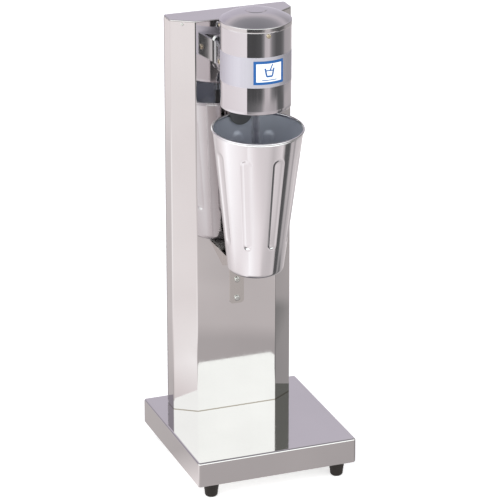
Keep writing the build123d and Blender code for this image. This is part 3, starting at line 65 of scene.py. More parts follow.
def addNoise(tree, coords, stretch, scale, detail=4.0):
    # noise on object coordinates, drawn out along the axes by the stretch
    mapping = tree.nodes.new("ShaderNodeMapping")
    mapping.inputs["Scale"].default_value = stretch
    noise = tree.nodes.new("ShaderNodeTexNoise")
    noise.inputs["Scale"].default_value = scale
    noise.inputs["Detail"].default_value = detail
    tree.links.new(coords.outputs["Object"], mapping.inputs["Vector"])
    tree.links.new(mapping.outputs["Vector"], noise.inputs["Vector"])
    return noise.outputs["Fac"]


def addRamp(tree, source, stops):
    ramp = tree.nodes.new("ShaderNodeValToRGB")
    elements = ramp.color_ramp.elements
    elements[0].position, elements[0].color = stops[0][0], grey(stops[0][1])
    elements[1].position, elements[1].color = stops[-1][0], grey(stops[-1][1])
    for place, value in stops[1:-1]:
        elements.new(place).color = grey(value)
    tree.links.new(source, ramp.inputs["Fac"])
    return ramp.outputs["Color"]


def addMath(tree, kind, a, b=None):
    node = tree.nodes.new("ShaderNodeMath")
    node.operation = kind
    for slot, value in enumerate((a, b)):
        if value is None:
            continue
        if isinstance(value, (int, float)):
            node.inputs[slot].default_value = value
        else:
            tree.links.new(value, node.inputs[slot])
    return node.outputs[0]


def grey(value):
    return (value, value, value, 1.0) if isinstance(value, (int, float)) else (*value, 1.0)


def addBump(tree, shader, source, strength):
    bump = tree.nodes.new("ShaderNodeBump")
    bump.inputs["Strength"].default_value = strength
    bump.inputs["Distance"].default_value = grainSizes["bumpDepth"]
    tree.links.new(source, bump.inputs["Height"])
    tree.links.new(bump.outputs["Normal"], shader.inputs["Normal"])


def addSplit(tree, coords):
    split = tree.nodes.new("ShaderNodeSeparateXYZ")
    tree.links.new(coords.outputs["Object"], split.inputs["Vector"])
    return split.outputs


def addMix(tree, factor, first, second):
    # each end is a colour or another node's output
    mix = tree.nodes.new("ShaderNodeMix")
    mix.data_type = "RGBA"
    tree.links.new(factor, mix.inputs["Factor"])
    for slot, value in ((6, first), (7, second)):
        if isinstance(value, tuple):
            mix.inputs[slot].default_value = (*value, 1.0)
        else:
            tree.links.new(value, mix.inputs[slot])
    return mix.outputs[2]


grainSizes = dict(low=0.3, high=0.7, cloudScale=14.0, cloudDetail=2.0, bumpDepth=0.4 * mm)


def spread(first, second):
    # two ramp stops over the part of the range that noise fills
    return [(grainSizes["low"], first), (grainSizes["high"], second)]


# each finish: its colour and the darker one it fades to, then its lowest and highest roughness,
# and the grain drawn out by the stretch
finishSizes = {
    "polished_steel": dict(
        color=(0.68, 0.66, 0.66), dim=(0.655, 0.635, 0.635), metal=1.0, rough=(0.035, 0.075),
        stretch=(60, 60, 1.5), scale=6.0, bump=0.012),
    "satin_steel": dict(
        color=(0.58, 0.565, 0.59), dim=(0.53, 0.515, 0.54), metal=1.0, rough=(0.22, 0.32),
        stretch=(1, 50, 50), scale=9.0, bump=0.05),
    "rest_steel": dict(
        color=(0.60, 0.575, 0.555), dim=(0.55, 0.53, 0.51), metal=1.0, rough=(0.10, 0.18),
        stretch=(30, 30, 2), scale=8.0, bump=0.03),
    "cup_steel": dict(
        color=(0.75, 0.735, 0.755), dim=(0.72, 0.705, 0.725), metal=1.0, rough=(0.07, 0.13),
        stretch=(3, 3, 160), scale=5.0, bump=0.015),
    "chrome": dict(
        color=(0.70, 0.70, 0.71), dim=(0.66, 0.66, 0.67), metal=1.0, rough=(0.12, 0.20),
        stretch=(8, 8, 8), scale=20.0, bump=0.02),
    "cast_metal": dict(
        color=(0.47, 0.47, 0.47), dim=(0.36, 0.36, 0.36), metal=0.9, rough=(0.40, 0.60),
        stretch=(20, 20, 20), scale=60.0, bump=0.25),
    "zinc_steel": dict(
        color=(0.66, 0.66, 0.63), dim=(0.56, 0.56, 0.55), metal=1.0, rough=(0.22, 0.38),
        stretch=(10, 10, 10), scale=60.0, bump=0.06),
    "brassy_screw": dict(
        color=(0.60, 0.52, 0.40), dim=(0.48, 0.41, 0.31), metal=1.0, rough=(0.20, 0.36),
        stretch=(10, 10, 10), scale=70.0, bump=0.06),
    "brass": dict(
        color=(0.75, 0.58, 0.28), dim=(0.65, 0.48, 0.22), metal=1.0, rough=(0.18, 0.30),
        stretch=(10, 10, 10), scale=50.0, bump=0.04),
    "bearing_steel": dict(
        color=(0.60, 0.60, 0.61), dim=(0.54, 0.54, 0.55), metal=1.0, rough=(0.12, 0.20),
        stretch=(4, 4, 90), scale=12.0, bump=0.03),
    "spindle_steel": dict(
        color=(0.92, 0.90, 0.89), dim=(0.86, 0.84, 0.83), metal=1.0, rough=(0.10, 0.16),
        stretch=(4, 4, 140), scale=10.0, bump=0.02),
    "spring_steel": dict(
        color=(0.45, 0.45, 0.47), dim=(0.36, 0.36, 0.38), metal=1.0, rough=(0.25, 0.40),
        stretch=(40, 40, 40), scale=40.0, bump=0.05),
    "dark_grey": dict(
        color=(0.15, 0.15, 0.155), dim=(0.11, 0.11, 0.115), metal=0.4, rough=(0.28, 0.42),
        stretch=(12, 12, 12), scale=90.0, bump=0.06),
    "black_rubber": dict(
        color=(0.013, 0.009, 0.007), dim=(0.009, 0.006, 0.005), metal=0.0, rough=(0.42, 0.62),
        stretch=(10, 10, 10), scale=80.0, bump=0.15),
    "seal_rubber": dict(
        color=(0.15, 0.145, 0.14), dim=(0.11, 0.108, 0.104), metal=0.0, rough=(0.48, 0.66),
        stretch=(10, 10, 10), scale=90.0, bump=0.15),
    "black_plastic": dict(
        color=(0.024, 0.024, 0.026), dim=(0.018, 0.018, 0.019), metal=0.0, rough=(0.36, 0.52),
        stretch=(14, 14, 14), scale=120.0, bump=0.18),
    "red_plastic": dict(  # the rocker, gloss black
        color=(0.020, 0.020, 0.022), dim=(0.015, 0.015, 0.016), metal=0.0, rough=(0.14, 0.24),
        stretch=(10, 10, 10), scale=60.0, bump=0.03),
    "carbon": dict(
        color=(0.022, 0.022, 0.023), dim=(0.014, 0.014, 0.015), metal=0.0, rough=(0.55, 0.75),
        stretch=(12, 12, 12), scale=90.0, bump=0.2),
    "copper": dict(
        color=(0.62, 0.26, 0.11), dim=(0.42, 0.15, 0.06), metal=1.0, rough=(0.22, 0.36),
        stretch=(30, 30, 400), scale=4.0, bump=0.5),
    "lamination": dict(
        color=(0.34, 0.34, 0.36), dim=(0.20, 0.20, 0.22), metal=1.0, rough=(0.30, 0.48),
        stretch=(1, 1, 700), scale=4.0, bump=0.5),
    "wire_sleeve": dict(
        color=(0.024, 0.024, 0.026), dim=(0.012, 0.012, 0.013), metal=0.0, rough=(0.45, 0.70),
        stretch=(200, 200, 200), scale=5.0, bump=0.4),
    "badge": dict(
        color=(0.86, 0.87, 0.88), dim=(0.82, 0.83, 0.85), metal=0.0, rough=(0.20, 0.30),
        stretch=(20, 20, 20), scale=60.0, bump=0.02),
    "badge_blue": dict(
        color=(0.0, 0.085, 0.30), dim=(0.0, 0.078, 0.28), metal=0.0, rough=(0.50, 0.60),
        stretch=(20, 20, 20), scale=60.0, bump=0.02),
    # a rougher satin inside, its darker bluish colour painted shade for the inside of the cup
    "cup_inside": dict(
        color=(0.47, 0.49, 0.56), dim=(0.42, 0.44, 0.51), metal=0.35, rough=(0.28, 0.36),
        stretch=(3, 3, 160), scale=5.0, bump=0.03),
    "lid_steel": dict(
        color=(0.66, 0.64, 0.65), dim=(0.63, 0.61, 0.62), metal=1.0, rough=(0.07, 0.13),
        stretch=(40, 40, 40), scale=8.0, bump=0.02),
}


def makeFinish(name, sizes):
    finish, tree, shader, coords = newFinish(name)
    grain = addNoise(tree, coords, sizes["stretch"], sizes["scale"])
    cloud = addNoise(tree, coords, (1, 1, 1), grainSizes["cloudScale"], grainSizes["cloudDetail"])
    color = addRamp(tree, cloud, spread(sizes["dim"], sizes["color"]))
    tree.links.new(color, shader.inputs["Base Color"])
    rough = addRamp(tree, grain, spread(*sizes["rough"]))
    tree.links.new(rough, shader.inputs["Roughness"])
    shader.inputs["Metallic"].default_value = sizes["metal"]
    addBump(tree, shader, grain, sizes["bump"])
    return finish


finishes = {name: makeFinish(name, sizes) for name, sizes in finishSizes.items()}

barrelSizes = dict(
    bandLow=31.2 * mm, bandHigh=65.7 * mm, bright=(0.655, 0.635, 0.665), satin=(0.60, 0.58, 0.64),
    brightRough=(0.03, 0.07), satinRough=(0.52, 0.60), stretch=(70, 70, 1.5), scale=6.0, bump=0.012,
)


def makeBarrelFinish(name, sizes, low):
    # polished drum with one satin band round it, by height above its underside
    finish, tree, shader, coords = newFinish(name)
    grain = addNoise(tree, coords, sizes["stretch"], sizes["scale"])
    height = addSplit(tree, coords)["Z"]
    above = addMath(tree, "GREATER_THAN", height, low + sizes["bandLow"])
    below = addMath(tree, "LESS_THAN", height, low + sizes["bandHigh"])
    band = addMath(tree, "MULTIPLY", above, below)
    tree.links.new(addMix(tree, band, sizes["bright"], sizes["satin"]), shader.inputs["Base Color"])
    bright = addRamp(tree, grain, spread(*sizes["brightRough"]))
    satin = addRamp(tree, grain, spread(*sizes["satinRough"]))
    tree.links.new(addMix(tree, band, bright, satin), shader.inputs["Roughness"])
    shader.inputs["Metallic"].default_value = 1.0
    addBump(tree, shader, grain, sizes["bump"])
    return finish


finishes["barrel_steel"] = makeBarrelFinish("barrel_steel", barrelSizes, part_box("head_barrel")[0].z)

# heights and colour of the painted shade line at the foot of the column
jointShadeSizes = dict(start=0.05 * mm, end=0.75 * mm, color=(0.306, 0.27, 0.225))


def addJointShade(finish, sizes, floor):
    # a thin dark line where the column stands on the base, painted shade for the crease between the two parts
    tree = finish.node_tree
    shader = next(node for node in tree.nodes if node.type == "BSDF_PRINCIPLED")
    coords = next(node for node in tree.nodes if node.type == "TEX_COORD")
    color = shader.inputs["Base Color"].links[0].from_socket
    middle, half = (sizes["start"] + sizes["end"]) / 2, (sizes["end"] - sizes["start"]) / 2
    away = addMath(tree, "ABSOLUTE", addMath(tree, "SUBTRACT", addSplit(tree, coords)["Z"], floor + middle))
    line = addMath(tree, "LESS_THAN", away, half)
    tree.links.new(addMix(tree, line, color, sizes["color"]), shader.inputs["Base Color"])


for row in frame["record"]["subparts"]:
    node = nodes[row["node"]]
    node.data.materials.clear()
    node.data.materials.append(finishes[row["material_slot"]])
addJointShade(finishes["polished_steel"], jointShadeSizes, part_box("base_pan")[1].z)
print("stage: finishes made")


def readMesh(obj):
    # the evaluated result as a plain mesh, its modifiers left behind
    depsgraph = bpy.context.evaluated_depsgraph_get()
    return bpy.data.meshes.new_from_object(obj.evaluated_get(depsgraph), depsgraph=depsgraph)


def signedVolume(mesh):
    total = 0.0
    mesh.calc_loop_triangles()
    for tri in mesh.loop_triangles:
        a, b, c = (mesh.vertices[i].co for i in tri.vertices)
        total += a.dot(b.cross(c))
    return total


def addSocket(tree, name, kind, value=None):
    socket = tree.interface.new_socket(name=name, in_out="INPUT", socket_type=kind)
    if value is not None:
        socket.default_value = value
    return socket


latheSizes = dict(fluteEdge=2.8, weldGap=0.002 * mm)  # a higher edge makes the flutes squarer


def makeLatheTree():
    # turns the input profile's points round Z; flutes are pressed in between two heights
    tree = bpy.data.node_groups.new("latheRule", "GeometryNodeTree")
    addSocket(tree, "Profile", "NodeSocketGeometry")
    addSocket(tree, "Points", "NodeSocketInt", 2)
    addSocket(tree, "Around", "NodeSocketInt", 64)
    addSocket(tree, "FluteCount", "NodeSocketInt", 0)
    addSocket(tree, "FluteStart", "NodeSocketFloat", 0.0)
    addSocket(tree, "FluteLow", "NodeSocketFloat", 0.0)
    addSocket(tree, "FluteHigh", "NodeSocketFloat", 0.0)
    addSocket(tree, "FluteHalf", "NodeSocketFloat", 0.1)
    addSocket(tree, "FluteDepth", "NodeSocketFloat", 0.0)
    addSocket(tree, "Finish", "NodeSocketMaterial")
    tree.interface.new_socket(name="Mesh", in_out="OUTPUT", socket_type="NodeSocketGeometry")
    given = tree.nodes.new("NodeGroupInput")
    out = tree.nodes.new("NodeGroupOutput")
    link = tree.links.new

    grid = tree.nodes.new("GeometryNodeMeshGrid")
    link(given.outputs["Around"], grid.inputs["Vertices X"])
    link(given.outputs["Points"], grid.inputs["Vertices Y"])
    index = tree.nodes.new("GeometryNodeInputIndex").outputs[0]
    along = addMath(tree, "MODULO", index, given.outputs["Points"])
    turn = addMath(tree, "FLOOR", addMath(tree, "DIVIDE", index, given.outputs["Points"]))
    steps = addMath(tree, "SUBTRACT", given.outputs["Around"], 1.0)
    angle = addMath(tree, "MULTIPLY", addMath(tree, "DIVIDE", turn, steps), 2 * math.pi)

    sample = tree.nodes.new("GeometryNodeSampleIndex")
    sample.data_type = "FLOAT_VECTOR"
    sample.domain = "POINT"
    place = tree.nodes.new("GeometryNodeInputPosition")
    link(given.outputs["Profile"], sample.inputs["Geometry"])
    link(place.outputs["Position"], sample.inputs["Value"])
    link(along, sample.inputs["Index"])
    split = tree.nodes.new("ShaderNodeSeparateXYZ")
    link(sample.outputs["Value"], split.inputs["Vector"])
    radius, height = split.outputs["X"], split.outputs["Z"]

    # distance from the nearest flute's middle line, capped at its ends
    pitch = addMath(tree, "DIVIDE", 2 * math.pi, addMath(tree, "MAXIMUM", given.outputs["FluteCount"], 1.0))
    halfPitch = addMath(tree, "MULTIPLY", pitch, 0.5)
    shifted = addMath(tree, "ADD", addMath(tree, "SUBTRACT", angle, given.outputs["FluteStart"]), halfPitch)
    wrapped = addMath(tree, "SUBTRACT", addMath(tree, "FLOORED_MODULO", shifted, pitch), halfPitch)
    across = addMath(tree, "MULTIPLY", wrapped, radius)
    below = addMath(tree, "SUBTRACT", given.outputs["FluteLow"], height)
    above = addMath(tree, "SUBTRACT", height, given.outputs["FluteHigh"])
    past = addMath(tree, "MAXIMUM", addMath(tree, "MAXIMUM", below, above), 0.0)
    acrossSquare = addMath(tree, "MULTIPLY", across, across)
    squares = addMath(tree, "ADD", acrossSquare, addMath(tree, "MULTIPLY", past, past))
    half = addMath(tree, "MULTIPLY", radius, given.outputs["FluteHalf"])  # a share of the radius
    reach = addMath(tree, "DIVIDE", addMath(tree, "SQRT", squares), half)
    inner = addMath(tree, "SUBTRACT", 1.0, addMath(tree, "POWER", reach, latheSizes["fluteEdge"]))
    inner = addMath(tree, "MAXIMUM", inner, 0.0)
    press = addMath(tree, "MULTIPLY", inner, given.outputs["FluteDepth"])
    used = addMath(tree, "GREATER_THAN", given.outputs["FluteCount"], 0.5)
    pressed = addMath(tree, "SUBTRACT", radius, addMath(tree, "MULTIPLY", press, used))

    join = tree.nodes.new("ShaderNodeCombineXYZ")
    link(addMath(tree, "MULTIPLY", pressed, addMath(tree, "COSINE", angle)), join.inputs["X"])
    link(addMath(tree, "MULTIPLY", pressed, addMath(tree, "SINE", angle)), join.inputs["Y"])
    link(height, join.inputs["Z"])
    move = tree.nodes.new("GeometryNodeSetPosition")
    link(grid.outputs["Mesh"], move.inputs["Geometry"])
    link(join.outputs["Vector"], move.inputs["Position"])
    weld = tree.nodes.new("GeometryNodeMergeByDistance")
    weld.inputs["Distance"].default_value = latheSizes["weldGap"]
    link(move.outputs["Geometry"], weld.inputs["Geometry"])
    smooth = tree.nodes.new("GeometryNodeSetShadeSmooth")
    link(weld.outputs["Geometry"], smooth.inputs["Geometry"])
    real = tree.nodes.new("GeometryNodeRealizeInstances")
    link(smooth.outputs["Geometry"], real.inputs["Geometry"])
    paint = tree.nodes.new("GeometryNodeSetMaterial")
    link(real.outputs["Geometry"], paint.inputs["Geometry"])
    link(given.outputs["Finish"], paint.inputs["Material"])
    link(paint.outputs["Geometry"], out.inputs["Mesh"])
    return tree


def runTree(source, tree, values):
    # one live modifier with its inputs set by identifier, read back as a plain mesh
    modifier = source.modifiers.new("rule", "NODES")
    modifier.node_group = tree
    for item in tree.interface.items_tree:
        if item.item_type == "SOCKET" and item.in_out == "INPUT" and item.name in values:
            modifier[item.identifier] = values[item.name]
    mesh = readMesh(source)
    bpy.data.objects.remove(source)
    return mesh


latheTree = makeLatheTree()


def lathe(name, profile, finish, around=128, place=None, **flutes):
    # one closed profile of (radius, height) points turned round Z, then put in its place
    source = bpy.data.objects.new(name + "Profile", bpy.data.meshes.new(name + "Profile"))
    points = [(r, 0.0, z) for r, z in profile]
    source.data.from_pydata(points, [(i, i + 1) for i in range(len(points) - 1)], [])
    bpy.context.collection.objects.link(source)
    values = {"Points": len(points), "Around": around + 1, "Finish": finish}
    values.update({key[0].upper() + key[1:]: value for key, value in flutes.items()})
    mesh = runTree(source, latheTree, values)
    if signedVolume(mesh) < 0:
        mesh.flip_normals()
    mesh.transform(place or Matrix.Identity(4))
    obj = bpy.data.objects.new(name, mesh)
    bpy.context.collection.objects.link(obj)
    return obj


def arc(cx, cz, radius, start, end, steps):
    # points of an arc in the profile plane, angles in degrees from +r
    turns = [math.radians(start + (end - start) * i / steps) for i in range(steps + 1)]
    return [(cx + radius * math.cos(t), cz + radius * math.sin(t)) for t in turns]


def run(a, b, steps):
    return [(a[0] + (b[0] - a[0]) * i / steps, a[1] + (b[1] - a[1]) * i / steps) for i in range(steps + 1)]


def tidy(points):
    # drops a point that falls on the one before it
    kept = [points[0]]
    for p in points[1:]:
        if math.dist(p, kept[-1]) > 2 * latheSizes["weldGap"]:
            kept.append(p)
    return kept


def standAt(centre, low):
    return Matrix.Translation((centre.x, centre.y, low.z))


def plainObject(name, verts, faces, finish):
    mesh = bpy.data.meshes.new(name)
    mesh.from_pydata(verts, [], faces)
    mesh.materials.append(finish)
    obj = bpy.data.objects.new(name, mesh)
    bpy.context.collection.objects.link(obj)
    return obj


def centreOf(node):
    low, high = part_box(node)
    return (low + high) / 2, low, high


cupSizes = dict(
    height=168.6 * mm, rimRadius=51.7 * mm, footRadius=31.1 * mm, wall=0.8 * mm, corner=5.0 * mm,
    bead=1.3 * mm, dish=1.2 * mm, dishEdges=(0.62, 0.68, 0.74), insideEdges=(0.72, 0.64), tilt=2.5,
    around=400, wallSteps=92, insideSteps=78, beadSteps=22, cornerSteps=12,
    flutes=dict(
        fluteCount=8, fluteStart=math.radians(-81.6), fluteLow=42.0 * mm, fluteHigh=141.0 * mm,
        fluteHalf=0.15, fluteDepth=1.4 * mm,
    ),
)


def makeCup(sizes):
    low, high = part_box("cup")
    tilt = math.radians(sizes["tilt"])
    height, wall, bead, corner = sizes["height"], sizes["wall"], sizes["bead"], sizes["corner"]
    footRadius, dish = sizes["footRadius"], sizes["dish"]
    topRadius = sizes["rimRadius"] - bead
    lean = (topRadius - footRadius) / height
    slope = math.degrees(math.atan(lean))
    # the outside from the middle of the floor: raised dish, corner, wall and rolled rim
    flat, half, edge = (footRadius * share for share in sizes["dishEdges"])
    points = [(0.0, dish), (flat, dish), (half, dish * 0.55), (edge, 0.0)]
    outside = arcCorner(footRadius, 0.0, corner, slope)
    points += outside
    points += run(outside[-1], (topRadius - lean * bead, height - bead), sizes["wallSteps"])[1:]
    points += arc(topRadius, height, bead, -98, 188, sizes["beadSteps"])
    # then down the inside
    insideTop = (topRadius - wall - lean * bead * 1.4, height - bead * 1.4)
    inside = arcCorner(footRadius - wall, wall, corner - wall, slope)
    points += run(insideTop, inside[-1], sizes["insideSteps"])
    points += list(reversed(inside))[1:]
    edge, flat = (footRadius * share for share in sizes["insideEdges"])
    points += [(edge, wall + dish * 0.2), (flat, wall + dish), (0.0, wall + dish)]
    foot = Vector((
        (low.x + high.x) / 2,
        low.y + height * math.sin(tilt) + sizes["rimRadius"] * math.cos(tilt),
        low.z + (footRadius - corner) * math.sin(tilt) + corner * (1 - math.cos(tilt)),
    ))
    place = Matrix.Translation(foot) @ Matrix.Rotation(tilt, 4, "X")
    cup = lathe(
        "cup_body", tidy(points), finishes["cup_steel"],
        around=sizes["around"], place=place, **sizes["flutes"],
    )
    paintInside(cup, place, height, sizes["wall"])
    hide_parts("cup")
    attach(cup, "cup")


def paintInside(cup, place, height, wall):
    # faces that look towards the axis or up from the bottom take the duller satin finish, whose darker bluish
    # colour is painted shade for the inside of the cup
    cup.data.materials.clear()
    cup.data.materials.append(finishes["cup_steel"])
    cup.data.materials.append(finishes["cup_inside"])
    back = place.inverted()
    turn = back.to_3x3()
    for face in cup.data.polygons:
        middle, normal = back @ face.center, turn @ face.normal
        inward = normal.x * middle.x + normal.y * middle.y < 0
        floor = middle.z < 4 * wall and normal.z > 0.5
        face.material_index = 1 if middle.z < height - 2 * wall and (inward or floor) else 0


def arcCorner(radius, z, corner, slope):
    # the rounded foot corner, from the flat floor up to the leaning wall
    turn = math.radians(90 - slope)
    reach = corner * math.tan(turn / 2)
    steps = cupSizes["cornerSteps"]
    turns = [turn * i / steps for i in range(steps + 1)]
    return [(radius - reach + corner * math.sin(t), z + corner - corner * math.cos(t)) for t in turns]


makeCup(cupSizes)
print("stage: cup made")

drumSizes = dict(wall=1.2 * mm, round=1.1 * mm, mouth=12.0 * mm, chamfer=0.15 * mm, hold=0.5 * mm, around=256)


def makeBarrel(sizes):
    centre, low, high = centreOf("head_barrel")
    radius, height = (high.x - low.x) / 2, high.z - low.z
    wall, edge, chamfer = sizes["wall"], sizes["round"], sizes["chamfer"]
    points = run((sizes["mouth"], 0.0), (radius - edge, 0.0), 6)
    points += arc(radius - edge, edge, edge, -90, 0, 8)[1:]
    points += run((radius, edge), (radius, height - sizes["hold"]), 24)[1:]
    # rings close together keep the shading of the top edge sharp
    points += [(radius, height - 2 * chamfer), (radius, height - chamfer), (radius - chamfer, height)]
    points += run((radius - wall, height), (radius - wall, wall), 12)
    points += [(sizes["mouth"], wall), (sizes["mouth"], 0.0)]
    barrel = lathe(
        "barrel_drum", tidy(points), finishes["barrel_steel"],
        around=sizes["around"], place=standAt(centre, low),
    )
    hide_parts("head_barrel")
    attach(barrel, "stand")


lidSizes = dict(
    wall=1.2 * mm, bandHeight=5.0 * mm, gap=0.05 * mm, skirtInset=0.65 * mm, lip=0.8 * mm,
    flat=11.7 * mm, flatDrop=0.5 * mm, domeEdge=1.7 * mm, domeFall=0.32, domeBend=2.2, domeSteps=28,
    underDrop=3.0 * mm, roofDrop=1.8 * mm, roofSteps=12, around=256,
)


def makeLid(sizes):
    centre, low, high = centreOf("head_lid")
    radius, wall, flat = (high.x - low.x) / 2, sizes["wall"], sizes["flat"]
    base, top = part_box("head_barrel")[1].z - low.z + sizes["gap"], high.z - low.z
    bandTop = base + sizes["bandHeight"]
    # a flat disc in the middle, then the dome, which falls faster towards its edge
    points = [(0.0, top), (flat * 0.5, top), (flat - 0.5 * mm, top)]
    points += [(flat - 0.2 * mm, top - 0.05 * mm), (flat, top - 0.22 * mm)]
    points += [(flat + 0.15 * mm, top - sizes["flatDrop"])]
    domeStart, domeTop = flat + 0.7 * mm, top - sizes["flatDrop"] - 0.12 * mm
    domeLow, reach = bandTop + 0.5 * mm, radius - flat - sizes["domeEdge"]
    fall, bend, steps = sizes["domeFall"], sizes["domeBend"], sizes["domeSteps"]
    for i in range(steps + 1):
        u = i / steps
        share = 1 - fall * u - (1 - fall) * u ** bend
        points.append((domeStart + u * reach, domeLow + (domeTop - domeLow) * share))
    # rounded lip, upright band and the skirt inside the barrel
    lip = sizes["lip"]
    points += arc(radius - lip, bandTop - 0.35 * mm, lip, 78, 0, 8)
    points += run((radius, bandTop - 0.5 * mm), (radius, base + 0.1 * mm), 4)
    skirt = radius - wall - sizes["skirtInset"]
    inner, under, roof = skirt - wall, bandTop - sizes["underDrop"], top - sizes["roofDrop"]
    points += [(radius - 0.1 * mm, base), (skirt, base), (skirt, 0.0), (inner, 0.0), (inner, under)]
    for i in range(1, sizes["roofSteps"] + 1):
        u = 1 - i / sizes["roofSteps"]
        points.append((flat + u * (inner - flat), under + (roof - under) * (1 - u ** 2)))
    points += [(0.0, roof)]
    lid = lathe(
        "lid_dome", tidy(points), finishes["lid_steel"],
        around=sizes["around"], place=standAt(centre, low),
    )
    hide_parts("head_lid")
    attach(lid, "stand")


makeBarrel(drumSizes)
makeLid(lidSizes)

# back, card and ink are each a lowest and highest place off the drum
badgeSizes = dict(
    border=3.0 * mm, mark=15.0 * mm, line=1.9 * mm, columns=48,
    back=(0.03 * mm, 0.265 * mm), card=(0.245 * mm, 0.295 * mm), ink=(0.275 * mm, 0.325 * mm),
    wallPieces=10, strawPieces=12, ruleHalf=8.6 * mm, ruleLow=1.4 * mm, ruleHigh=2.4 * mm,
)


def bendOn(centre, radius, middle, u, v):
    # a flat drawing's point laid on the drum: u along the arc, v up
    turn = middle + u / radius
    return Vector((centre.x + radius * math.sin(turn), centre.y - radius * math.cos(turn), v))


def makeBadge(sizes):
    # blue backing, a white card on it and the printed mark, all bent round the drum
    centre, barrelLow, barrelHigh = centreOf("head_barrel")
    low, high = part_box("front_badge")
    drum = (barrelHigh.x - barrelLow.x) / 2
    left, right = (math.asin((x - centre.x) / drum) for x in (low.x, high.x))
    middle, halfWidth = (left + right) / 2, drum * (right - left) / 2
    halfHeight, midZ = (high.z - low.z) / 2, (high.z + low.z) / 2
    verts, faces, paints = [], [], []

    def addBlock(across, up, off, paint, columns=1):
        # a curved slab with all its sides
        start = len(verts)
        near, far = drum + off[0], drum + off[1]
        for i in range(columns + 1):
            u = across[0] + (across[1] - across[0]) * i / columns
            for radius, v in ((near, up[0]), (far, up[0]), (far, up[1]), (near, up[1])):
                verts.append(bendOn(centre, radius, middle, u, midZ + v))
        for i in range(columns):
            a = start + 4 * i
            for k in range(4):
                m = (k + 1) % 4
                faces.append((a + k, a + 4 + k, a + 4 + m, a + m))
                paints.append(paint)
        faces.append((start, start + 1, start + 2, start + 3))
        end = start + 4 * columns
        faces.append((end + 3, end + 2, end + 1, end))
        paints.extend((paint, paint))

    white, blue = 0, 1
    border, line, ink = sizes["border"], sizes["line"], sizes["ink"]
    cardWide, cardTall = halfWidth - border, halfHeight - border
    addBlock((-halfWidth, halfWidth), (-halfHeight, halfHeight), sizes["back"], blue, sizes["columns"])
    addBlock((-cardWide, cardWide), (-cardTall, cardTall), sizes["card"], white, sizes["columns"])
    # a plain tumbler with leaning sides, its floor and the level in it
    tall, wide = sizes["mark"], sizes["mark"] * 0.30
    floor, level = -0.28 * tall, 0.12 * tall
    for side in (-1, 1):
        for k in range(sizes["wallPieces"]):
            u = side * wide * (0.72 + 0.42 * (k + 0.5) / sizes["wallPieces"])
            z = floor + tall * 0.62 * k / sizes["wallPieces"]
            step = tall * 0.62 / sizes["wallPieces"] + 0.02 * mm
            addBlock((u - line / 2, u + line / 2), (z, z + step), ink, blue)
    addBlock((-wide * 0.75, wide * 0.75), (floor - line * 0.5, floor + line * 0.6), ink, blue, 8)
    addBlock((-wide * 0.98, wide * 0.98), (level, level + line * 0.7), ink, blue, 8)
    # the straw, and a thin rule under the mark
    for k in range(sizes["strawPieces"]):
        u, z = wide * (0.10 + 0.06 * k), level + tall * 0.042 * k
        addBlock((u - line * 0.4, u + line * 0.4), (z, z + tall * 0.047), ink, blue)
    rule = (sizes["ruleLow"] - cardTall, sizes["ruleHigh"] - cardTall)
    addBlock((-sizes["ruleHalf"], sizes["ruleHalf"]), rule, ink, blue, 16)
    badge = plainObject("badge_film", verts, faces, finishes["badge"])
    badge.data.materials.append(finishes["badge_blue"])
    for face, paint in zip(badge.data.polygons, paints):
        face.material_index = paint
    fixOutward(badge.data)
    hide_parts("front_badge")
    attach(badge, "stand")


def fixOutward(mesh):
    # turns every face of a closed piece outwards
    shape = bmesh.new()
    shape.from_mesh(mesh)
    bmesh.ops.recalc_face_normals(shape, faces=shape.faces)
    shape.to_mesh(mesh)
    shape.free()


makeBadge(badgeSizes)
print("stage: head made")

footSizes = dict(
    tip=7.2 * mm, top=9.3 * mm, round=3.4 * mm, recess=4.0 * mm, recessTop=9.0 * mm, bore=2.6 * mm,
    ridge=0.21 * mm, ridges=5, ridged=(0.2, 0.85), steps=15, around=72,
)


def makeFeet(sizes):
    tip, top, soft = sizes["tip"], sizes["top"], sizes["round"]
    recess, recessTop = sizes["recess"], sizes["recessTop"]
    for name in (f"rubber_foot_{end}_{side}" for end in ("front", "rear") for side in ("left", "right")):
        centre, low, high = centreOf(name)
        height = high.z - low.z
        # the screw recess, the rounded tip, and a side with shallow ridges that widens upwards
        points = [(recess, recessTop), (recess, 0.3 * mm), (recess + 0.3 * mm, 0.0)]
        points += arc(tip - soft + 0.15 * mm, soft, soft, -90, -4, 10)
        for i in range(1, sizes["steps"]):
            u = i / sizes["steps"]
            wave = 0.5 - 0.5 * math.cos(2 * math.pi * sizes["ridges"] * u)
            ridge = sizes["ridge"] * wave if sizes["ridged"][0] < u < sizes["ridged"][1] else 0.0
            points.append((tip + (top - tip) * u - ridge, soft + (height - soft) * u))
        points += [(top - 0.3 * mm, height - 0.25 * mm), (top - 0.6 * mm, height)]
        points += [(sizes["bore"], height), (sizes["bore"], recessTop), (recess, recessTop)]
        foot = lathe(
            name.replace("rubber_foot", "foot"), tidy(points), finishes["black_rubber"],
            around=sizes["around"], place=standAt(centre, low),
        )
        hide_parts(name)
        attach(foot, "stand")


makeFeet(footSizes)
print("stage: feet made")

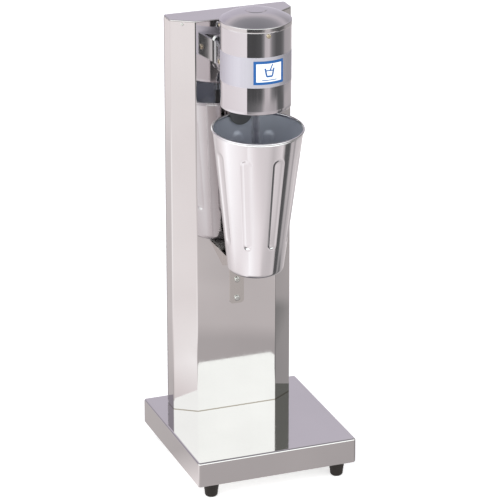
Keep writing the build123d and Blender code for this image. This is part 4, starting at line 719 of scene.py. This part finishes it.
# sky by height, horizon by direction from the back round by the left, both from 0 to 1;
# tones has a row for each direction, in degrees from the front, and a tone at each of the reaches;
# every tone is what polished steel shows after one reflection
studioSizes = dict(
    reach=2.6, rings=200, spokes=720, ringGrowth=1.3, drop=0.5 * mm, steel=0.66, worldLight=3.0,
    warmTint=0.06, floorSpan=9.0, floorTone=0.90, floorRough=0.9, floorGlow=0.55, wallRange=(0.62, 0.45),
    aim=(0, 0, 0.25),
    lamps=[("keyLight", (-1.6, -1.8, 2.4), 1.6, 26.0), ("fillLight", (1.8, -0.6, 1.8), 1.2, 8.0)],
    sky=[
        (0.0, (200, 194, 200)), (0.42, (196, 191, 197)), (0.62, (184, 179, 184)),
        (0.80, (142, 141, 146)), (1.0, (124, 124, 129)),
    ],
    horizon=[
        (0.0, (178, 173, 184)), (0.05, (150, 146, 155)), (0.09, (142, 139, 148)), (0.16, (190, 188, 192)),
        (0.25, (280, 286, 284)), (0.60, (286, 294, 290)), (0.66, (230, 230, 228)), (0.70, (112, 114, 110)),
        (0.80, (108, 111, 107)), (0.86, (150, 148, 152)), (0.93, (178, 174, 184)), (1.0, (178, 173, 184)),
    ],
    reaches=[0.10, 0.27, 0.32, 0.44, 0.48, 0.72, 1.10, 1.25, 1.30, 1.385, 1.405],
    tones=[
        (-200, [150, 150, 174, 180, 185, 190, 200, 208, 210, 212, 212]),
        (-157, [172, 172, 176, 180, 184, 186, 196, 206, 208, 212, 214]),
        (-110, [168, 168, 187, 226, 234, 243, 238, 218, 216, 218, 218]),
        (-62, [220, 236, 228, 222, 220, 228, 232, 222, 220, 224, 224]),
        (-47.8, [178, 178, 237, 222, 220, 216, 212, 222, 222, 224, 224]),
        (-46.9, [172, 172, 238, 238, 236, 228, 134, 124, 96, 86, 70]),
        (-42, [170, 170, 238, 238, 236, 226, 138, 128, 98, 88, 72]),
        (-23, [165, 165, 225, 225, 220, 196, 168, 156, 110, 100, 70]),
        (-12, [165, 165, 220, 220, 212, 193, 182, 182, 122, 114, 76]),
        (-4, [165, 165, 214, 212, 204, 198, 186, 187, 130, 125, 80]),
        (5, [165, 165, 182, 203, 200, 196, 187, 188, 175, 172, 130]),
        (10, [165, 165, 180, 194, 194, 194, 186, 187, 181, 180, 183]),
        (22, [165, 165, 182, 182, 176, 178, 178, 182, 176, 172, 190]),
        (33, [162, 162, 182, 180, 188, 192, 184, 176, 168, 166, 120]),
        (47, [160, 160, 189, 190, 206, 208, 180, 165, 164, 160, 85]),
        (54, [150, 150, 177, 175, 150, 150, 150, 160, 120, 100, 85]),
        (56, [82, 81, 81, 80, 80, 80, 80, 150, 90, 90, 85]),
        (65, [80, 79, 79, 78, 78, 78, 82, 150, 90, 90, 88]),
        (71, [84, 83, 83, 82, 82, 82, 85, 92, 92, 92, 100]),
        (76, [150, 150, 150, 150, 160, 170, 150, 165, 104, 100, 110]),
        (84, [100, 112, 114, 120, 160, 178, 140, 169, 165, 168, 155]),
        (92, [90, 90, 90, 90, 148, 140, 126, 150, 168, 170, 158]),
        (97, [130, 139, 141, 146, 160, 188, 162, 150, 168, 170, 160]),
        (123, [160, 165, 165, 168, 170, 192, 172, 142, 160, 165, 160]),
        (160, [160, 172, 174, 180, 185, 190, 200, 208, 210, 212, 212]),
    ],
)


def toLinear(value):
    value /= 255
    return value / 12.92 if value <= 0.04045 else ((value + 0.055) / 1.055) ** 2.4


def shareOf(value, low, high):
    return min(1.0, max(0.0, (value - low) / (high - low)))


def readRow(row, reach):
    steps = studioSizes["reaches"]
    for i in range(len(steps) - 1):
        if reach < steps[i + 1]:
            return row[i] + (row[i + 1] - row[i]) * shareOf(reach, steps[i], steps[i + 1])
    return row[-1]


def paperTone(angle, reach):
    # what the polished metal sees on the glowing sweep, by direction and distance
    rows = studioSizes["tones"]
    for (low, first), (high, second) in zip(rows, rows[1:]):
        if angle <= high:
            a, b = readRow(first, reach), readRow(second, reach)
            value = a + (b - a) * shareOf(angle, low, high)
            break
    light = toLinear(value) / studioSizes["steel"]
    # the middle tones are slightly warm, the darkest and the white ones plain
    warm = shareOf(value, 90, 170) * shareOf(245 - value, 0, 30)
    tint = 1 - studioSizes["warmTint"] * warm
    return (light, light * tint, light * tint)


def addRange(tree, source, low, high):
    span = tree.nodes.new("ShaderNodeMapRange")
    span.inputs["From Min"].default_value = low
    span.inputs["From Max"].default_value = high
    tree.links.new(source, span.inputs["Value"])
    return span.outputs["Result"]


def addTurn(tree, split):
    # direction round the stand, 0 at the back, through the left, the front at the middle, to 1
    turn = addMath(tree, "ARCTAN2", split.outputs["X"], addMath(tree, "MULTIPLY", split.outputs["Y"], -1.0))
    return addMath(tree, "ADD", addMath(tree, "DIVIDE", turn, 2 * math.pi), 0.5)


def addSteps(tree, source, steps):
    # tones after one reflection, at places from 0 to 1
    return addRamp(tree, source, [(place, steelLight(tone)) for place, tone in steps])


def steelLight(tone):
    # the light that polished steel turns into the given tone, before the world's own strength
    share = studioSizes["steel"] * studioSizes["worldLight"]
    return tuple(toLinear(value) / share for value in tone)


def makeFloor(sizes):
    # the floor that is seen, but not by the metal
    finish, tree, shader, coords = newFinish("floor_paper")
    shader.inputs["Base Color"].default_value = grey(sizes["floorTone"])
    shader.inputs["Roughness"].default_value = sizes["floorRough"]
    shader.inputs["Emission Color"].default_value = grey(1.0)
    shader.inputs["Emission Strength"].default_value = sizes["floorGlow"]
    span = sizes["floorSpan"]
    corners = [(-span, -span, 0), (span, -span, 0), (span, span, 0), (-span, span, 0)]
    floor = plainObject("floor", corners, [(0, 1, 2, 3)], finish)
    floor.visible_glossy = False
    return floor


def makeGlow():
    glow = bpy.data.materials.new("sweep_glow")
    glow.use_nodes = True
    tree = glow.node_tree
    tree.nodes.clear()
    out = tree.nodes.new("ShaderNodeOutputMaterial")
    emit = tree.nodes.new("ShaderNodeEmission")
    read = tree.nodes.new("ShaderNodeAttribute")
    read.attribute_name = "tone"
    tree.links.new(read.outputs["Color"], emit.inputs["Color"])
    tree.links.new(emit.outputs["Emission"], out.inputs["Surface"])
    return glow


def makeSweep(sizes):
    # a glowing disc just under the floor that only the metal sees
    verts, faces, tones = [], [], []
    rings, spokes = sizes["rings"], sizes["spokes"]
    firstTurn = sizes["tones"][0][0]
    for i in range(rings + 1):
        reach = sizes["reach"] * (i / rings) ** sizes["ringGrowth"]
        for k in range(spokes):
            turn = k * 360 / spokes + firstTurn
            across, ahead = reach * math.sin(math.radians(turn)), -reach * math.cos(math.radians(turn))
            verts.append((across, ahead, -sizes["drop"]))
            tones.append(paperTone(turn, reach))
    for i in range(rings):
        for k in range(spokes):
            a, b = i * spokes + k, i * spokes + (k + 1) % spokes
            faces.append((a, b, b + spokes, a + spokes))
    sweep = plainObject("sweep", verts, faces, makeGlow())
    layer = sweep.data.color_attributes.new("tone", "FLOAT_COLOR", "POINT")
    for item, tone in zip(layer.data, tones):
        item.color = (*tone, 1.0)
    sweep.visible_camera = False
    sweep.visible_diffuse = False
    sweep.visible_shadow = False
    return sweep


def makeWorld(sizes):
    world = bpy.data.worlds.new("studio")
    bpy.context.scene.world = world
    world.use_nodes = True
    tree = world.node_tree
    tree.nodes.clear()
    out = tree.nodes.new("ShaderNodeOutputWorld")
    back = tree.nodes.new("ShaderNodeBackground")
    coords = tree.nodes.new("ShaderNodeTexCoord")
    split = tree.nodes.new("ShaderNodeSeparateXYZ")
    tree.links.new(coords.outputs["Generated"], split.inputs["Vector"])
    sky = addSteps(tree, split.outputs["Z"], sizes["sky"])
    horizon = addSteps(tree, addTurn(tree, split), sizes["horizon"])
    low = addRange(tree, split.outputs["Z"], *sizes["wallRange"])
    back.inputs["Strength"].default_value = sizes["worldLight"]
    tree.links.new(addMix(tree, low, sky, horizon), back.inputs["Color"])
    tree.links.new(back.outputs["Background"], out.inputs["Surface"])


def makeLamps(sizes):
    for name, place, size, power in sizes["lamps"]:
        data = bpy.data.lights.new(name, "AREA")
        data.size, data.energy = size, power
        lamp = bpy.data.objects.new(name, data)
        lamp.location = place
        aim = Vector(sizes["aim"]) - Vector(place)
        lamp.rotation_euler = aim.to_track_quat("-Z", "Y").to_euler()
        lamp.visible_glossy = False
        bpy.context.collection.objects.link(lamp)


floor, sweep = makeFloor(studioSizes), makeSweep(studioSizes)
makeWorld(studioSizes)
makeLamps(studioSizes)

cameraSizes = dict(
    target=(0.00204, 0.0, 0.25493), reach=3.3075, direction=(-0.3298, -0.8698, 0.3669), lens=211.4,
    sensor=36.0, clip=(0.1, 60.0),
)


def makeCamera(sizes):
    data = bpy.data.cameras.new("camera")
    data.sensor_width, data.lens = sizes["sensor"], sizes["lens"]
    data.clip_start, data.clip_end = sizes["clip"]
    camera = bpy.data.objects.new("camera", data)
    bpy.context.collection.objects.link(camera)
    direction = Vector(sizes["direction"]).normalized()
    camera.location = Vector(sizes["target"]) + direction * sizes["reach"]
    camera.rotation_mode = "QUATERNION"
    camera.rotation_quaternion = (-direction).to_track_quat("-Z", "Y")
    bpy.context.scene.camera = camera


makeCamera(cameraSizes)
bpy.context.scene.view_settings.view_transform = "Standard"
print("stage: studio and camera made")
